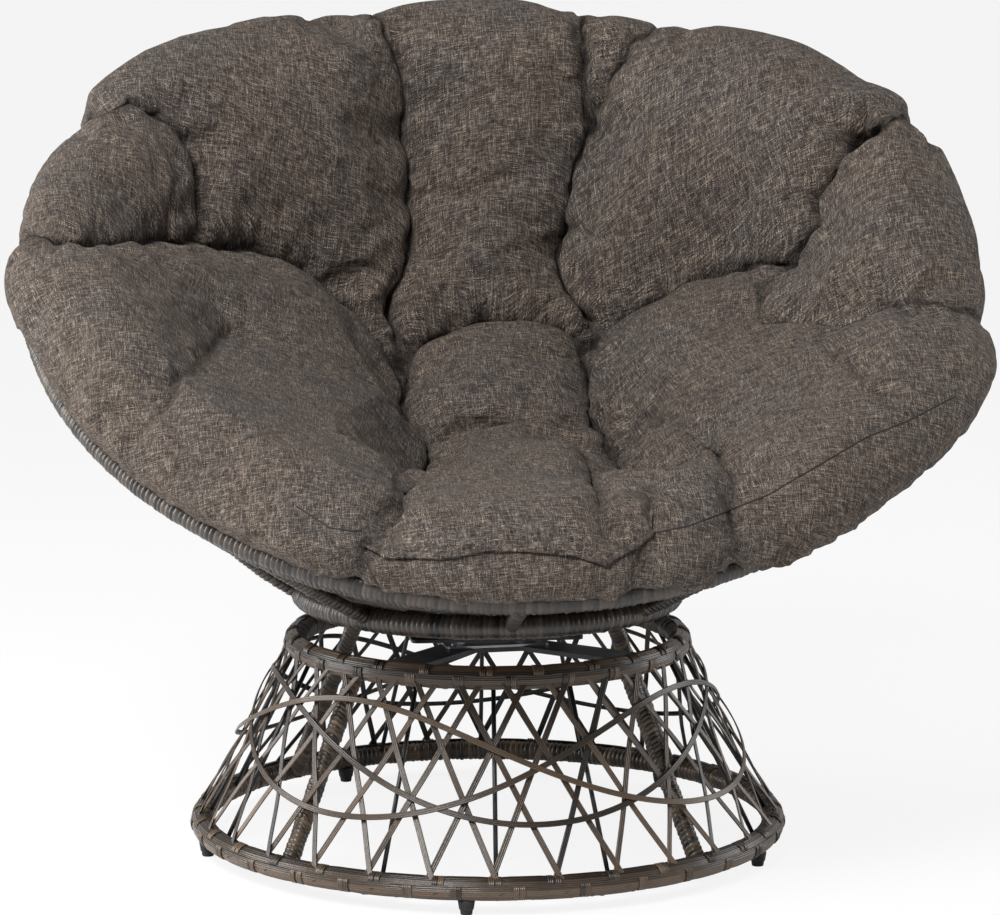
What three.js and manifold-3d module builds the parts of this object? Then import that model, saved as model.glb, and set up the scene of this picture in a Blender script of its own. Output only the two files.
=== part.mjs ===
// A round bowl chair that swivels: a resin wicker base, a ball bearing, a wrapped steel bowl
// and a thick tufted cushion. Millimetres, +Z up, origin on the floor under the swivel axis.
// The seat looks towards -Y. An azimuth is counted from the front towards +X.

import * as THREE from 'three';
import { mergeVertices } from 'three/addons/utils/BufferGeometryUtils.js';
import Module from 'manifold-3d';

const wasm = await Module();
wasm.setup();

// Driving dimensions: clearances
const touchGap = 0.3; // play between pieces that touch
const cutOverrun = 4; // how far a hole's cutter passes its plate

// Driving dimensions: base
const baseRingRadius = 320;
const baseRingTube = 12;
const baseRingLift = 27; // centre of the ring's tube above the floor
const upperRingRadius = 214;
const upperRingTube = 12;
const upperRingLift = 230;
const baseTurn = -5.3; // degrees, the base turned under the seat
const legTube = 9.5;
const legInset = 8; // legs lie this far inside the rings' cone
const rodTube = 2.5;
const rodInset = 4;
const footRadius = 6.5;
const footFlare = 3.5; // a foot's top is this much wider in radius
const footChamfer = 1;
const footCup = 2; // how far a foot's saddle climbs the ring
const braidThickness = 1.5;

// Driving dimensions: flat strands on the base
const strandWidth = 5.5;
const strandThickness = 1.4;
const firstLaceInset = 3.3; // first lace's middle, inside the cone that touches the rings
const lacePlay = 1; // room for the strands' twist where two laces cross
const wavePlay = 1.3; // room for the twist where a wave crosses a lace
const waveStackPlay = 0.4;
const strandEndPlay = 1.5; // a strand's end stops this far short of the braid
const waveMiddle = 150; // height of the waves' middle line
const waveSwing = 54;

// Driving dimensions: swivel
const crossWidth = 44;
const crossThickness = 5;
const crossTop = 231;
const crossTurn = 10; // degrees, from the legs
const plateSide = 116;
const plateThickness = 2.5;
const plateCorner = 8;
const ballRadius = 3.5;
const ballCircle = 40;
const raceHalfWidth = 7;
const raceRise = 2.6;
const plateToBall = 4.5; // from a plate's inner face to the balls' centres
const cageHalfWidth = 5;
const cageHalfHeight = 0.7;
const rivetRadius = 5;
const rivetHead = 9;
const rivetHeadHeight = 2.2;
const rivetHole = 11; // hole in the crosses that the rivet's heads sit in
const boltInset = 10; // from the plate's edges
const boltRadius = 3;
const boltHead = 5;
const boltHeadHeight = 4;
const boltEnd = 2.2; // how far a bolt's tip passes the plate
const mountSide = 190;
const mountThickness = 3.5;
const armWidth = 34;
const armThickness = 4;
const armRise = 30; // the upper arms climb this far to the swivel ring

// Driving dimensions: bowl
const swivelRadius = 206;
const swivelTube = 13;
const swivelLift = 284;
const rimRadius = 500;
const rimTube = 13;
const rimLift = 621.5;
const rimForward = 0; // rim centre ahead of the swivel axis
const rimTilt = 32.3; // degrees, front low
const ribTube = 8;
const ribStartMean = 22; // degrees, slope at the swivel ring
const ribStartSwing = 10; // steeper at the back, flatter in front
const ribArrival = 60; // degrees, from the rim's plane
const hoopRadius = 384;
const hoopTube = 7;
const hoopLift = 446;
const hoopBack = 36;
const hoopTilt = 19.3;
const hoopDrop = 13.5; // the hoop runs this far below the ribs' middle

// Driving dimensions: cushion
const cushionEdge = 548; // radius of its outline in the rim's plane
const cushionBack = 8.3; // its outline's centre lies this far behind the rim's
const cushionRest = 0.5; // clear over the rim
const cushionClear = 1.6; // clear over the ribs
const cushionSag = 9; // sag of its underside inside the swivel ring
const creaseDepth = 60;
const creaseReach = 82; // a pad rises from a crease over this distance
const tuftDepth = 14;
const tuftReach = 60;

// Counts
const legCount = 4;
const spokeCount = 16; // places for legs and rods round the base
const footCount = 5;
const vertexCount = 30; // Vs round the base
const laceCount = 2;
const ballCount = 8;
const ribCount = 8;
const tubeSides = 8;
const thinSides = 6; // round thin bars, bolt heads and the ball groove
const boltSides = 10;
const footSides = 12;
const raceSteps = 24;
const hoopSteps = 40;
const ribSteps = 8;

// Angles in degrees
const footPhase = -5.6; // from the base's own front
const lacePhase = -0.4;
const laceLean = 22.5; // a strand's two ends are this far apart in azimuth
const waveCrests = [-80.6, 56.4, -36.6];
const wavesPerTurn = 2;

const rad = (degrees) => THREE.MathUtils.degToRad(degrees);
const around = (azimuth, radius, z) => new THREE.Vector3(
  radius * Math.sin(rad(azimuth)), -radius * Math.cos(rad(azimuth)), z);

// Solids

function closed(geometry) {
  const bare = geometry.index ? geometry.toNonIndexed() : geometry.clone();
  bare.deleteAttribute('normal');
  bare.deleteAttribute('uv');
  return mergeVertices(bare);
}

function toSolid(geometry) {
  const merged = closed(geometry);
  return new wasm.Manifold(new wasm.Mesh({
    numProp: 3,
    vertProperties: new Float32Array(merged.attributes.position.array),
    triVerts: new Uint32Array(merged.index.array),
  }));
}

function fromSolid(solid) {
  const mesh = solid.getMesh();
  const geometry = new THREE.BufferGeometry();
  geometry.setAttribute('position', new THREE.BufferAttribute(mesh.vertProperties, 3));
  geometry.setIndex(new THREE.BufferAttribute(mesh.triVerts, 1));
  return geometry;
}

const joined = (solids) => solids.reduce((sum, solid) => sum.add(solid));
const cutBy = (solid, cutters) => cutters.reduce((left, cutter) => left.subtract(cutter), solid);

// Rows of points in rings, closed both ways, as one skin
function loopSkin(rings) {
  const across = rings[0].length;
  const index = [];
  rings.forEach((ring, i) => {
    const next = (i + 1) % rings.length;
    for (let j = 0; j < across; j += 1) {
      const k = (j + 1) % across;
      index.push(i * across + j, next * across + j, next * across + k);
      index.push(i * across + j, next * across + k, i * across + k);
    }
  });
  const geometry = new THREE.BufferGeometry();
  geometry.setFromPoints(rings.flat());
  geometry.setIndex(index);
  return geometry;
}

function ring(radius, tube, lift, steps) {
  return new THREE.TorusGeometry(radius, tube, tubeSides, steps).translate(0, 0, lift);
}

function tubeAlong(curve, tube, sides, steps) {
  const outline = [];
  for (let i = 0; i < sides; i += 1) {
    const turn = (2 * Math.PI * i) / sides;
    outline.push(new THREE.Vector2(tube * Math.cos(turn), tube * Math.sin(turn)));
  }
  return new THREE.ExtrudeGeometry(new THREE.Shape(outline), { steps, extrudePath: curve });
}

function cylinder(radius, low, high, sides = 16) {
  return new THREE.CylinderGeometry(radius, radius, high - low, sides)
    .rotateX(Math.PI / 2)
    .translate(0, 0, (low + high) / 2);
}

function squarePlate(side, corner, low, high) {
  const half = side / 2;
  const shape = new THREE.Shape();
  shape.moveTo(corner - half, -half);
  shape.lineTo(half - corner, -half);
  shape.quadraticCurveTo(half, -half, half, corner - half);
  shape.lineTo(half, half - corner);
  shape.quadraticCurveTo(half, half, half - corner, half);
  shape.lineTo(corner - half, half);
  shape.quadraticCurveTo(-half, half, -half, half - corner);
  shape.lineTo(-half, corner - half);
  shape.quadraticCurveTo(-half, -half, corner - half, -half);
  return new THREE.ExtrudeGeometry(shape, {
    depth: high - low, bevelEnabled: false, curveSegments: 3,
  }).translate(0, 0, low);
}

// A plate's outline in the radius-height plane, drawn out to a width, pointing to an azimuth
function arm(profile, width, azimuth) {
  const shape = new THREE.Shape(profile.map(([radius, z]) => new THREE.Vector2(radius, z)));
  return new THREE.ExtrudeGeometry(shape, { depth: width, bevelEnabled: false })
    .translate(0, 0, -width / 2)
    .rotateX(Math.PI / 2)
    .rotateZ(rad(azimuth) - Math.PI / 2);
}

// Finishes
const finishes = {
  wicker: { color: 0x3f332b, roughness: 0.5, metalness: 0 },
  steel: { color: 0x15161a, roughness: 0.4, metalness: 0.6 },
  zinc: { color: 0x8d9094, roughness: 0.35, metalness: 0.9 },
  rubber: { color: 0x141414, roughness: 0.85, metalness: 0 },
  fabric: { color: 0x584e44, roughness: 0.95, metalness: 0 },
};

const chair = new THREE.Group();
const base = new THREE.Group();
base.rotation.z = rad(baseTurn);
const seat = new THREE.Group();
chair.add(base, seat);

function place(group, name, geometry, finish) {
  const mesh = new THREE.Mesh(geometry, new THREE.MeshStandardMaterial(finishes[finish]));
  mesh.name = name;
  group.add(mesh);
}

// The cone that holds both base rings' middle lines
const coneRun = upperRingRadius - baseRingRadius;
const coneClimb = upperRingLift - baseRingLift;
const coneLength = Math.hypot(coneRun, coneClimb);
const coneOut = new THREE.Vector2(coneClimb / coneLength, -coneRun / coneLength);

// A place on the cone: climb is the share of the way up, out the distance outside it
function onCone(azimuth, climb, out) {
  const radius = baseRingRadius + climb * coneRun + out * coneOut.x;
  return around(azimuth, radius, baseRingLift + climb * coneClimb + out * coneOut.y);
}

// Base rings
const ringSteps = 40;
const baseRing = (tube) => ring(baseRingRadius, tube, baseRingLift, ringSteps);
const upperRing = (tube) => ring(upperRingRadius, tube, upperRingLift, ringSteps);
place(base, 'base_ring', baseRing(baseRingTube), 'wicker');
place(base, 'upper_base_ring', upperRing(upperRingTube), 'wicker');
const aroundBaseRing = toSolid(baseRing(baseRingTube + touchGap));
const aroundUpperRing = toSolid(upperRing(upperRingTube + touchGap));

// Braid: a skin over the outer face of each ring, from under its widest place to its top
function braid(radius, tube, lift) {
  const inner = tube + touchGap;
  const outer = inner + braidThickness;
  const side = (2 * Math.PI) / tubeSides;
  const turns = Array.from({ length: tubeSides / 2 }, (_, i) => (i - 1) * side);
  const outline = turns.map((turn) => [outer, turn])
    .concat(turns.reverse().map((turn) => [inner, turn]));
  const rings = Array.from({ length: ringSteps }, (_, i) => outline.map(([reach, turn]) => {
    const azimuth = (360 * i) / ringSteps;
    return around(azimuth, radius + reach * Math.cos(turn), lift + reach * Math.sin(turn));
  }));
  return loopSkin(rings);
}
place(base, 'lower_ring_braid', braid(baseRingRadius, baseRingTube, baseRingLift), 'wicker');
place(base, 'upper_ring_braid', braid(upperRingRadius, upperRingTube, upperRingLift), 'wicker');

// Legs and rods share evenly spaced places round the base
const spokeStep = 360 / spokeCount;
const spokesPerLeg = spokeCount / legCount;
let legNumber = 0;
let rodNumber = 0;
for (let i = 0; i < spokeCount; i += 1) {
  const isLeg = i % spokesPerLeg === spokesPerLeg / 2;
  const inset = isLeg ? legInset : rodInset;
  const line = new THREE.LineCurve3(
    onCone(i * spokeStep, 0, -inset), onCone(i * spokeStep, 1, -inset));
  const bar = tubeAlong(line, isLeg ? legTube : rodTube, isLeg ? tubeSides : thinSides, 1);
  const cut = fromSolid(cutBy(toSolid(bar), [aroundBaseRing, aroundUpperRing]));
  if (isLeg) {
    legNumber += 1;
    place(base, `leg_${legNumber}`, cut, 'wicker');
  } else {
    rodNumber += 1;
    place(base, `rod_${rodNumber}`, cut, 'steel');
  }
}

// Feet: tapered glides whose saddles cup the ring
const footTop = baseRingLift - baseRingTube + footCup;
for (let i = 0; i < footCount; i += 1) {
  const profile = [[0, 0], [footRadius - footChamfer, 0], [footRadius, footChamfer],
    [footRadius + footFlare, footTop], [0, footTop]];
  const centre = around((360 * i) / footCount + footPhase, baseRingRadius, 0);
  const blank = new THREE.LatheGeometry(profile.map(([r, z]) => new THREE.Vector2(r, z)), footSides)
    .rotateX(Math.PI / 2)
    .translate(centre.x, centre.y, 0);
  place(base, `foot_${i + 1}`, fromSolid(toSolid(blank).subtract(aroundBaseRing)), 'rubber');
}

// Strands: laces zigzag between the rings, waves run round outside them
const touchOut = (baseRingTube + upperRingTube) / 2;
const laceStep = strandThickness + lacePlay;
const laceOut = (layer) => touchOut - firstLaceInset + layer * laceStep;
const waveOut = (layer) => laceOut(laceCount - 1) + strandThickness + wavePlay
  + layer * (strandThickness + waveStackPlay);

// A straight flat strip between two points, its face turned to an azimuth
function strip(from, to, azimuth) {
  const along = to.clone().sub(from);
  const face = around(azimuth, coneOut.x, coneOut.y);
  const side = new THREE.Vector3().crossVectors(face, along).normalize();
  face.crossVectors(along, side).normalize();
  const frame = new THREE.Matrix4().makeBasis(side, face, along.clone().normalize());
  frame.setPosition(from.clone().add(to).multiplyScalar(0.5));
  return toSolid(new THREE.BoxGeometry(strandWidth, strandThickness, along.length())
    .applyMatrix4(frame));
}

const braidReach = touchGap + braidThickness + touchGap;
function laceEnd(tube, out) {
  const inner = out - strandThickness / 2;
  return (Math.sqrt((tube + braidReach) ** 2 - inner ** 2) + strandEndPlay) / coneLength;
}
const laceSpan = (out) => [laceEnd(baseRingTube, out), 1 - laceEnd(upperRingTube, out)];
for (let layer = 0; layer < laceCount; layer += 1) {
  const out = laceOut(layer);
  const [low, high] = laceSpan(out);
  const strips = [];
  for (let i = layer; i < vertexCount; i += laceCount) {
    const azimuth = (360 * i) / vertexCount + lacePhase;
    [-laceLean, laceLean].forEach((lean) => {
      strips.push(strip(
        onCone(azimuth, low, out), onCone(azimuth + lean, high, out), azimuth + lean / 2));
    });
  }
  place(base, `lace_${layer + 1}`, fromSolid(joined(strips)), 'wicker');
}

// The laces' straight strips dip inside the cone between the rings, and the waves lie over them
const lastLace = laceOut(laceCount - 1);
function waveCentre(azimuth, z, out) {
  const [low, high] = laceSpan(lastLace);
  const share = ((z - baseRingLift) / coneClimb - low) / (high - low);
  const lowEnd = onCone(0, low, lastLace);
  const highEnd = onCone(laceLean, high, lastLace);
  const radius = Math.hypot(...lowEnd.lerp(highEnd, share).toArray().slice(0, 2));
  const over = out - lastLace;
  return around(azimuth, radius + over * coneOut.x, lowEnd.z + over * coneOut.y);
}

const waveSteps = 48;
waveCrests.forEach((crest, layer) => {
  const middle = Array.from({ length: waveSteps }, (_, i) => {
    const azimuth = (360 * i) / waveSteps;
    const z = waveMiddle + waveSwing * Math.cos(rad(wavesPerTurn * (azimuth - crest)));
    return { azimuth, point: waveCentre(azimuth, z, waveOut(layer)) };
  });
  const rings = middle.map(({ azimuth, point }, i) => {
    const before = middle[(i + waveSteps - 1) % waveSteps].point;
    const after = middle[(i + 1) % waveSteps].point;
    const along = after.clone().sub(before).normalize();
    const face = around(azimuth, coneOut.x, coneOut.y);
    const side = new THREE.Vector3().crossVectors(along, face).normalize();
    face.crossVectors(side, along);
    return [[1, 1], [-1, 1], [-1, -1], [1, -1]].map(([u, v]) => point.clone()
      .addScaledVector(side, (u * strandWidth) / 2)
      .addScaledVector(face, (v * strandThickness) / 2));
  });
  place(base, `wave_strand_${layer + 1}`, loopSkin(rings), 'wicker');
});

// Swivel: the lower cross carries the bearing, the upper cross carries the seat
const plateLow = crossTop + touchGap;
const ballLift = plateLow + plateThickness + plateToBall;
const upperPlateLow = ballLift + plateToBall;
const upperPlateTop = upperPlateLow + plateThickness;
const mountLow = upperPlateTop + touchGap;
const boltPlace = plateSide / 2 - boltInset;
const boltCorners = [[1, 1], [-1, 1], [-1, -1], [1, -1]].map(([u, v]) => [u * boltPlace, v * boltPlace]);

const boltHoles = (low, high) => boltCorners.map(([x, y]) => toSolid(
  cylinder(boltRadius + touchGap, low - cutOverrun, high + cutOverrun, boltSides).translate(x, y, 0)));
const centreHole = (radius, low, high) => toSolid(
  cylinder(radius, low - cutOverrun, high + cutOverrun));

const swivelGroup = new THREE.Group();
swivelGroup.rotation.z = rad(crossTurn);
base.add(swivelGroup);

const crossBottom = crossTop - crossThickness;
const lowerBars = [0, 1].map((i) => toSolid(
  new THREE.BoxGeometry(2 * upperRingRadius, crossWidth, crossThickness)
    .translate(0, 0, (crossTop + crossBottom) / 2)
    .rotateZ(Math.PI / 4 + (i * Math.PI) / 2)));
const lowerPad = toSolid(squarePlate(plateSide, plateCorner, crossBottom, crossTop));
place(swivelGroup, 'lower_cross', fromSolid(cutBy(joined([...lowerBars, lowerPad]), [
  toSolid(upperRing(upperRingTube + touchGap).rotateZ(rad(-crossTurn))),
  centreHole(rivetHole, crossBottom, crossTop),
  ...boltHoles(crossBottom, crossTop)])), 'steel');

// A race: a raised ring on the plate's inner face, grooved for the balls
function bearingPlate(low, side) {
  const inner = side > 0 ? low + plateThickness : low;
  const crest = inner + side * raceRise;
  const profile = [[-raceHalfWidth, inner - side * (plateThickness / 2)],
    [raceHalfWidth, inner - side * (plateThickness / 2)],
    [raceHalfWidth, crest], [-raceHalfWidth, crest]];
  if (side < 0) profile.reverse();
  const race = profile.map(([r, z]) => new THREE.Vector2(ballCircle + r, z));
  race.push(race[0].clone());
  const raceRing = toSolid(new THREE.LatheGeometry(race, raceSteps).rotateX(Math.PI / 2));
  const grooveTube = (ballRadius + touchGap) / Math.cos(Math.PI / thinSides);
  const groove = toSolid(new THREE.TorusGeometry(ballCircle, grooveTube, thinSides, raceSteps)
    .translate(0, 0, ballLift));
  const plate = toSolid(squarePlate(plateSide, plateCorner, low, low + plateThickness));
  return fromSolid(cutBy(joined([plate, raceRing]), [groove,
    centreHole(rivetRadius + touchGap, low, low + plateThickness),
    ...boltHoles(low, low + plateThickness)]));
}
place(swivelGroup, 'bearing_lower_plate', bearingPlate(plateLow, 1), 'zinc');
place(seat, 'bearing_upper_plate', bearingPlate(upperPlateLow, -1), 'zinc');

const cageProfile = [[-1, -1], [1, -1], [1, 1], [-1, 1], [-1, -1]].map(([u, v]) => new THREE.Vector2(
  ballCircle + u * cageHalfWidth, v * cageHalfHeight));
const cage = toSolid(new THREE.LatheGeometry(cageProfile, raceSteps).rotateX(Math.PI / 2));
const balls = Array.from({ length: ballCount }, (_, i) => {
  const centre = around((360 * i) / ballCount, ballCircle, 0);
  return toSolid(new THREE.SphereGeometry(ballRadius, 6, 4).translate(centre.x, centre.y, 0));
});
place(seat, 'ball_cage', fromSolid(joined([cage, ...balls]).translate([0, 0, ballLift])), 'zinc');

const rivetLow = plateLow - touchGap;
const rivetTop = upperPlateTop + touchGap;
const rivetProfile = [[0, rivetLow - rivetHeadHeight], [rivetHead, rivetLow - rivetHeadHeight],
  [rivetHead, rivetLow], [rivetRadius, rivetLow], [rivetRadius, rivetTop], [rivetHead, rivetTop],
  [rivetHead, rivetTop + rivetHeadHeight], [0, rivetTop + rivetHeadHeight]];
place(swivelGroup, 'pivot_rivet', new THREE.LatheGeometry(
  rivetProfile.map(([r, z]) => new THREE.Vector2(r, z)), footSides).rotateX(Math.PI / 2), 'zinc');

// A bolt: its head outside, its tip just past the bearing's plate
function bolt(headFace, tip, [x, y]) {
  const away = Math.sign(headFace - tip);
  const headEnd = headFace + away * boltHeadHeight;
  const head = cylinder(boltHead, Math.min(headFace, headEnd), Math.max(headFace, headEnd), thinSides);
  const shank = cylinder(boltRadius, Math.min(tip, headEnd), Math.max(tip, headEnd), boltSides);
  return fromSolid(joined([toSolid(head), toSolid(shank)]).translate([x, y, 0]));
}
boltCorners.forEach((corner, i) => {
  place(swivelGroup, `lower_bolt_${i + 1}`,
    bolt(crossBottom - touchGap, plateLow + plateThickness + boltEnd, corner), 'zinc');
  place(seat, `upper_bolt_${i + 1}`,
    bolt(mountLow + mountThickness + touchGap, upperPlateLow - boltEnd, corner), 'zinc');
});

const swivelSteps = 40;
const aroundSwivelRing = toSolid(ring(swivelRadius, swivelTube + touchGap, swivelLift, swivelSteps));
const mountTop = mountLow + mountThickness;
const bend = mountSide / 2;
const armProfile = [[bend - armWidth, mountLow], [bend, mountLow],
  [swivelRadius, mountLow + armRise], [swivelRadius, mountLow + armRise + armThickness],
  [bend, mountTop], [bend - armWidth, mountTop]];
const upperArms = [1, 3, 5, 7].map((i) => toSolid(arm(armProfile, armWidth, i * 45)));
const mountPad = toSolid(squarePlate(mountSide, plateCorner, mountLow, mountTop));
place(seat, 'upper_cross', fromSolid(cutBy(joined([mountPad, ...upperArms]), [aroundSwivelRing,
  centreHole(rivetHole, mountLow, mountTop), ...boltHoles(mountLow, mountTop)])), 'steel');
place(seat, 'swivel_ring', ring(swivelRadius, swivelTube, swivelLift, swivelSteps), 'wicker');

// Rim: a place in its frame is an azimuth, a radius and a height over its plane
const rimTurn = new THREE.Matrix4().makeRotationX(rad(rimTilt));
rimTurn.setPosition(0, -rimForward, rimLift);
const inRim = (azimuth, radius, height) => around(azimuth, radius, height).applyMatrix4(rimTurn);
const rimBack = new THREE.Vector3(0, Math.cos(rad(rimTilt)), Math.sin(rad(rimTilt)));
const rimSteps = 56;
const rim = (tube) => ring(rimRadius, tube, 0, rimSteps).applyMatrix4(rimTurn);
place(seat, 'rim_ring', rim(rimTube), 'wicker');
const aroundRim = toSolid(rim(rimTube + touchGap));

// Hoop: a tilted ring that the ribs cross half way up
const hoopTurn = new THREE.Matrix4().makeRotationX(rad(hoopTilt));
hoopTurn.setPosition(0, hoopBack, hoopLift);
const hoop = (tube) => new THREE.TorusGeometry(hoopRadius, tube, thinSides, hoopSteps).applyMatrix4(hoopTurn);
place(seat, 'bowl_hoop', hoop(hoopTube), 'wicker');
const aroundHoop = toSolid(hoop(hoopTube + touchGap));

// The bowl's line at any azimuth: from the swivel ring, over the hoop, to the rim
const hoopShare = 0.55;
const handleShare = 0.4;
function bowlLine(azimuth) {
  const start = around(azimuth, swivelRadius, swivelLift);
  const end = inRim(azimuth, rimRadius, 0);
  const handle = start.distanceTo(end) * handleShare;
  const slope = rad(ribStartMean - ribStartSwing * Math.cos(rad(azimuth)));
  const leave = around(azimuth, Math.cos(slope), Math.sin(slope));
  const arrive = around(azimuth, Math.cos(rad(ribArrival)), Math.sin(rad(ribArrival)))
    .applyMatrix4(new THREE.Matrix4().makeRotationX(rad(rimTilt)));
  const first = start.clone().addScaledVector(leave, handle);
  const last = end.clone().addScaledVector(arrive, -handle);
  const free = new THREE.CubicBezierCurve3(start, first, last, end);
  const over = around(azimuth, hoopRadius, hoopDrop).applyMatrix4(hoopTurn);
  const miss = over.sub(free.getPoint(hoopShare))
    .multiplyScalar(1 / (3 * hoopShare * (1 - hoopShare)));
  return new THREE.CubicBezierCurve3(start, first.add(miss), last.add(miss), end);
}

for (let i = 0; i < ribCount; i += 1) {
  const rib = toSolid(tubeAlong(bowlLine((360 * i) / ribCount), ribTube, thinSides, ribSteps));
  place(seat, `rib_${i + 1}`,
    fromSolid(cutBy(rib, [aroundSwivelRing, aroundRim, aroundHoop])), 'wicker');
}

// Cushion: rings of points from the middle of its top, over the edge, to the middle underneath.
// The top is written in the rim's frame: radius, height, lift in front, and crease depth.
const topShares = [
  [0.00, -0.350, 0.000, 1.0], [0.09, -0.340, 0.024, 1.0], [0.19, -0.312, 0.058, 1.0],
  [0.29, -0.272, 0.088, 1.0], [0.39, -0.222, 0.106, 1.0], [0.49, -0.165, 0.102, 1.0],
  [0.59, -0.100, 0.086, 1.0], [0.69, -0.018, 0.062, 1.0], [0.79, 0.076, 0.044, 0.8],
  [0.88, 0.128, 0.036, 0.42], [0.955, 0.092, 0.032, 0.22], [1.00, 0.026, 0.022, 0.2]];

// Creases and sewn tufts: azimuth in degrees and radius share, seen from above
const tuftShares = [[-164, 0.42], [145, 0.46], [-26, 0.40], [20, 0.44], [-117, 0.70], [98, 0.70]];
const [tuftBackLeft, tuftBackRight, tuftFrontLeft, tuftFrontRight, tuftLeft, tuftRight] = tuftShares;
const creaseShares = [
  [tuftBackLeft, [-175, 0.47], [170, 0.48], [155, 0.48], tuftBackRight],
  [tuftBackLeft, [-95, 0.17], tuftFrontLeft],
  [tuftBackRight, [90, 0.20], tuftFrontRight],
  [tuftBackLeft, [-172, 1]],
  [tuftBackRight, [152, 0.70], [160, 1]],
  [[153, 0.72], [148, 1]],
  [tuftBackRight, [115, 0.60], tuftRight, [118, 1]],
  [tuftRight, [88, 0.75], [80, 1]],
  [tuftBackLeft, [-140, 0.52], tuftLeft, [-135, 1]],
  [tuftLeft, [-107, 1]],
  [tuftFrontLeft, [-20, 0.80], [-22, 1]],
  [tuftFrontRight, [12, 0.80], [12, 1]]];

const onDisc = ([azimuth, share]) => around(azimuth, share * cushionEdge, 0);
const creaseLines = creaseShares.flatMap((line) => line.slice(1).map(
  (end, i) => new THREE.Line3(onDisc(line[i]), onDisc(end))));
const tuftPoints = tuftShares.map(onDisc);
const nearest = new THREE.Vector3();

// A valley that falls smoothly to its full depth
function valley(depth, away, reach) {
  return (depth / 2) * (1 + Math.cos(Math.PI * Math.min(away / reach, 1)));
}

// How far the top is drawn down at a place on the disc
function drawnDown(place) {
  const toCrease = Math.min(...creaseLines.map(
    (line) => line.closestPointToPoint(place, true, nearest).distanceTo(place)));
  const toTuft = Math.min(...tuftPoints.map((point) => point.distanceTo(place)));
  return valley(creaseDepth, toCrease, creaseReach) + valley(tuftDepth, toTuft, tuftReach);
}

const sectors = 60;

// The top before it is creased, as radius and height in the rim's frame
function plainTop(azimuth, step) {
  const [radiusShare, heightShare, liftShare] = topShares[step];
  const height = rimRadius * (heightShare + liftShare * Math.cos(rad(azimuth)));
  return new THREE.Vector2(radiusShare * cushionEdge, height);
}

// A place on the top, drawn in square to the plain top
function topPoint(azimuth, step) {
  const [radiusShare, , , creaseShare] = topShares[step];
  const plain = plainTop(azimuth, step);
  const inward = plainTop(azimuth, Math.max(step - 1, 0));
  const outward = step + 1 < topShares.length
    ? plainTop(azimuth, step + 1) : new THREE.Vector2(rimRadius + rimTube, 0);
  const slope = step > 0 ? outward.sub(inward).normalize() : new THREE.Vector2(1, 0);
  const depth = drawnDown(around(azimuth, plain.x, 0)) * creaseShare;
  return inRim(azimuth, plain.x + depth * slope.y, plain.y - depth * slope.x)
    .addScaledVector(rimBack, cushionBack * radiusShare);
}

// The underside rests on the rim, follows the ribs down and sags inside the swivel ring
const rimOverlap = rimTube + ribTube;
const overRim = rimTube + cushionRest;
const besideRimShare = 0.45; // height beside the rim, of the height over it
const ribShares = [0.84, 0.62, 0.38, 0.14]; // places along a rib that the underside follows
const halfWaySagShare = 0.8;
function underPoints(azimuth) {
  const line = bowlLine(azimuth);
  const points = [[rimOverlap, besideRimShare], [0, 1], [-rimOverlap, besideRimShare]].map(
    ([out, share]) => inRim(azimuth, rimRadius + out, overRim * share));
  ribShares.forEach((share) => {
    const across = around(azimuth + 90, 1, 0);
    const up = new THREE.Vector3().crossVectors(line.getTangent(share), across).normalize();
    points.push(line.getPoint(share).addScaledVector(up, ribTube + cushionClear));
  });
  const ringTop = swivelLift + swivelTube + cushionClear;
  points.push(around(azimuth, swivelRadius, ringTop));
  points.push(around(azimuth, swivelRadius / 2, ringTop - cushionSag * halfWaySagShare));
  return points;
}

function cushion() {
  const rows = Array.from({ length: sectors }, (_, i) => {
    const azimuth = (360 * i) / sectors;
    return topShares.slice(1).map((_, step) => topPoint(azimuth, step + 1))
      .concat(underPoints(azimuth));
  });
  const across = rows[0].length;
  const points = rows.flat();
  const topMiddle = points.push(topPoint(0, 0)) - 1;
  const under = new THREE.Vector3(0, 0, swivelLift + swivelTube + cushionClear - cushionSag);
  const underMiddle = points.push(under) - 1;
  const index = [];
  for (let i = 0; i < sectors; i += 1) {
    const here = i * across;
    const next = ((i + 1) % sectors) * across;
    index.push(topMiddle, here, next);
    index.push(underMiddle, next + across - 1, here + across - 1);
    for (let j = 0; j < across - 1; j += 1) {
      const [a, b, c, d] = [here + j, here + j + 1, next + j + 1, next + j];
      const flip = points[b].distanceTo(points[d]) < points[a].distanceTo(points[c]);
      index.push(...(flip ? [a, b, d, b, c, d] : [a, b, c, a, c, d]));
    }
  }
  const geometry = new THREE.BufferGeometry();
  geometry.setFromPoints(points);
  geometry.setIndex(index);
  return geometry;
}
place(seat, 'cushion', cushion(), 'fabric');

export default chair;
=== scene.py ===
# %% [markdown]
# A round bowl chair that swivels. A thick tufted cushion lies in a steel bowl wound with flat
# resin cane, and the bowl turns on an open conical base of laced cane strands.
# The solids come packed in one fixed frame, in metres. This lesson dresses them: most solids
# are plain bars and rings, so the windings, braid and weave are made here as real geometry.

import math

import bpy
import numpy as np
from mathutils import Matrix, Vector, kdtree, noise
from mathutils.bvhtree import BVHTree


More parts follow.
